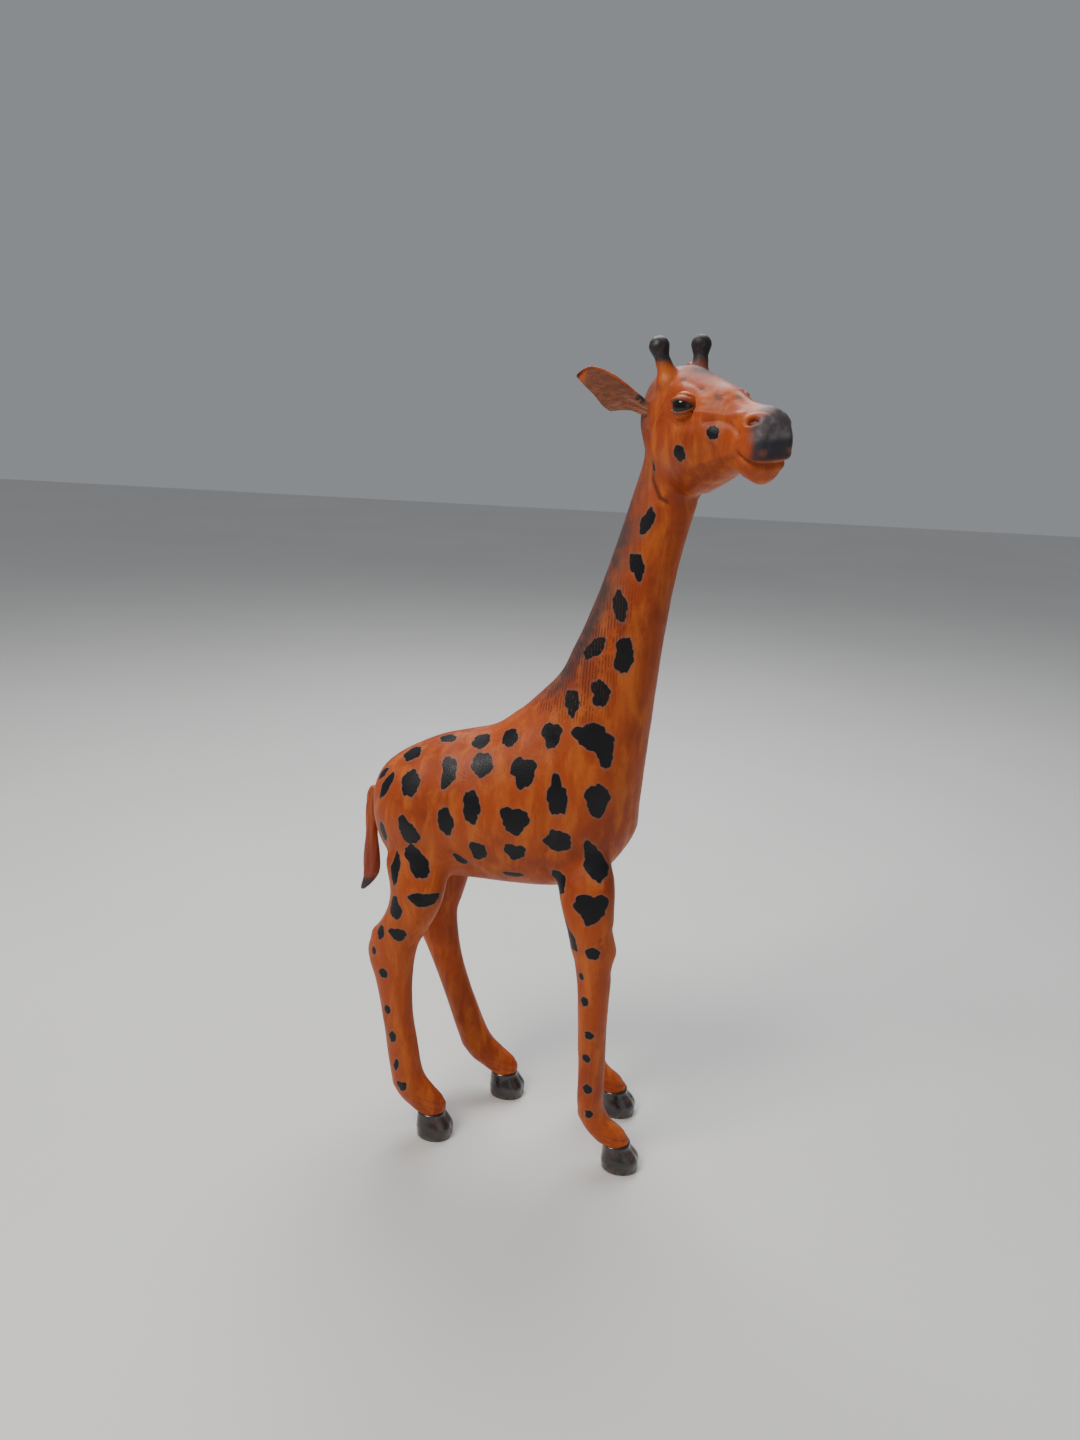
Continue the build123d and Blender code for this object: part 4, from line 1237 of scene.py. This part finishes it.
def eye_material():
    m = Nodes("eye_glass")
    front = m.value("front")
    iris = m.mix(m.ramp(m.noise(900, 3), 0.35, 0.65), (0.006, 0.003, 0.002), (0.016, 0.007, 0.004))
    pupil = m.mix(m.ramp(front, 0.80, 0.90), iris, (0.002, 0.002, 0.002))
    colour = m.mix(m.ramp(front, 0.52, 0.42), pupil, (0.012, 0.010, 0.010))
    return m.finish(colour, m.ramp(m.noise(300), 0.3, 0.7, 0.04, 0.09), None,
                    Specular_IOR_Level=0.4, Coat_Weight=0.25, Coat_Roughness=0.03)


def wood_material():
    m = Nodes("core_wood")
    rings = m.noise(1, 4, 0.6, place=m.stretched((420, 420, 22)), warp=1.2)
    colour = m.mix(m.ramp(rings, 0.35, 0.65), (0.42, 0.25, 0.12), (0.62, 0.42, 0.22))
    height = m.sum("ADD", rings, m.noise(1500, 2))
    return m.finish(colour, m.ramp(rings, 0.3, 0.7, 0.55, 0.75), m.bump(height, 0.4, 0.15))


def peg_material():
    m = Nodes("peg_wood")
    rings = m.noise(1, 4, 0.6, place=m.stretched((600, 80, 600)), warp=0.8)
    colour = m.mix(m.ramp(rings, 0.35, 0.65), (0.30, 0.16, 0.07), (0.45, 0.27, 0.13))
    return m.finish(colour, m.ramp(rings, 0.3, 0.7, 0.5, 0.7), m.bump(rings, 0.4, 0.15))


def steel_material():
    m = Nodes("steel_wire")
    drawn = m.noise(1, 3, 0.6, place=m.stretched((2500, 2500, 120)))
    colour = m.mix(m.ramp(drawn, 0.4, 0.6), (0.42, 0.42, 0.43), (0.56, 0.56, 0.57))
    return m.finish(colour, m.ramp(drawn, 0.3, 0.7, 0.28, 0.45), m.bump(drawn, 0.3, 0.05), Metallic=1.0)


def wear(obj, material):
    obj.data.materials.clear()
    obj.data.materials.append(material)


# ------------------------------------------------------------------ camera, light and floor
CAMERA_PLACE = Vector((92.5, -447.0, 350.0)) * MM
CAMERA_HEADING = math.radians(12.3)     # of the view, left of +Y
CAMERA_DOWN = math.radians(16.76)
CAMERA_ROLL = math.radians(1.84)
CAMERA_LENS = 27.0


def add_camera():
    ahead = Vector((-math.sin(CAMERA_HEADING), math.cos(CAMERA_HEADING), 0))
    view = ahead * math.cos(CAMERA_DOWN) - Vector((0, 0, math.sin(CAMERA_DOWN)))
    level_right = ahead.cross(Vector((0, 0, 1)))
    level_up = level_right.cross(view)
    right = level_right * math.cos(CAMERA_ROLL) + level_up * math.sin(CAMERA_ROLL)
    camera = bpy.data.cameras.new("camera")
    camera.lens = CAMERA_LENS
    camera.sensor_width = 36.0
    camera.clip_start = 0.01
    obj = new_object("camera", camera)
    turn = Matrix((right, right.cross(view), -view)).transposed()
    obj.matrix_world = Matrix.Translation(CAMERA_PLACE) @ turn.to_4x4()
    bpy.context.scene.camera = obj


def area_light(name, place, target, size, power, colour):
    data = bpy.data.lights.new(name, "AREA")
    data.shape = "DISK"
    data.size = size
    data.energy = power
    data.color = colour
    obj = new_object(name, data)
    aim = Vector(target) - Vector(place)
    obj.matrix_world = Matrix.Translation(place) @ aim.to_track_quat("-Z", "Y").to_matrix().to_4x4()


def add_lights():
    middle = (0, 0, 0.22)
    area_light("window", (-0.10, 0.50, 0.95), middle, 0.7, 8.5, (0.95, 0.98, 1.0))
    area_light("key", (-0.40, -0.50, 0.98), middle, 0.45, 8.0, (1.0, 0.96, 0.90))
    area_light("fill", (0.75, -0.75, 0.45), middle, 0.9, 0.8, (1.0, 0.98, 0.95))
    world = bpy.data.worlds.new("studio")
    world.use_nodes = True
    background = world.node_tree.nodes["Background"]
    background.inputs[0].default_value = (0.86, 0.9, 0.95, 1)
    background.inputs[1].default_value = 0.30
    bpy.context.scene.world = world


def add_floor():
    work = bmesh.new()
    bmesh.ops.create_grid(work, x_segments=8, y_segments=8, size=3.0)
    mesh = bpy.data.meshes.new("floor")
    work.to_mesh(mesh)
    work.free()
    floor = new_object("floor", mesh)
    m = Nodes("floor")
    tone = m.mix(m.ramp(m.noise(3, 3), 0.3, 0.7), (0.70, 0.69, 0.67), (0.73, 0.72, 0.70))
    mesh.materials.append(m.finish(tone, m.ramp(m.noise(8), 0.3, 0.7, 0.62, 0.72)))


# ------------------------------------------------------------------ building
add_camera()
add_lights()
add_floor()

hide_pieces, skin_tree = dress_skin()
tan_hide = hide_material("tan_hide")
capped_hide = hide_material("capped_hide", capped=True)
for node, piece in hide_pieces.items():
    if node in OSSICONE_NODES.values():
        wear(piece, capped_hide)
    else:
        wear(piece, tan_hide)

wood = wood_material()
for node in ("torso_core", "neck_core", "head_core"):
    wear(carve_core(node, skin_tree), wood)
ear_leather = ear_material()
eye_glass = eye_material()
for side in SIDES:
    wear(make_ear(side), ear_leather)
    wear(make_eye(side), eye_glass)
hoof_lacquer = hoof_material()
for leg in LEGS:
    wear(make_hoof(leg), hoof_lacquer)
strip, tuft = make_tail()
wear(strip, tail_material("tail_hide", dark=False))
wear(tuft, tail_material("tail_dark", dark=True))

pegs = peg_material()
steel = steel_material()
for name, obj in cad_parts.items():
    if name.endswith("_core"):
        obj.data.materials.clear()
        obj.data.materials.append(wood)
    elif name.endswith("dowel") or name.endswith("_peg"):
        obj.data.materials.clear()
        obj.data.materials.append(pegs)
    elif name == "tail_wire":
        obj.data.materials.clear()
        obj.data.materials.append(steel)
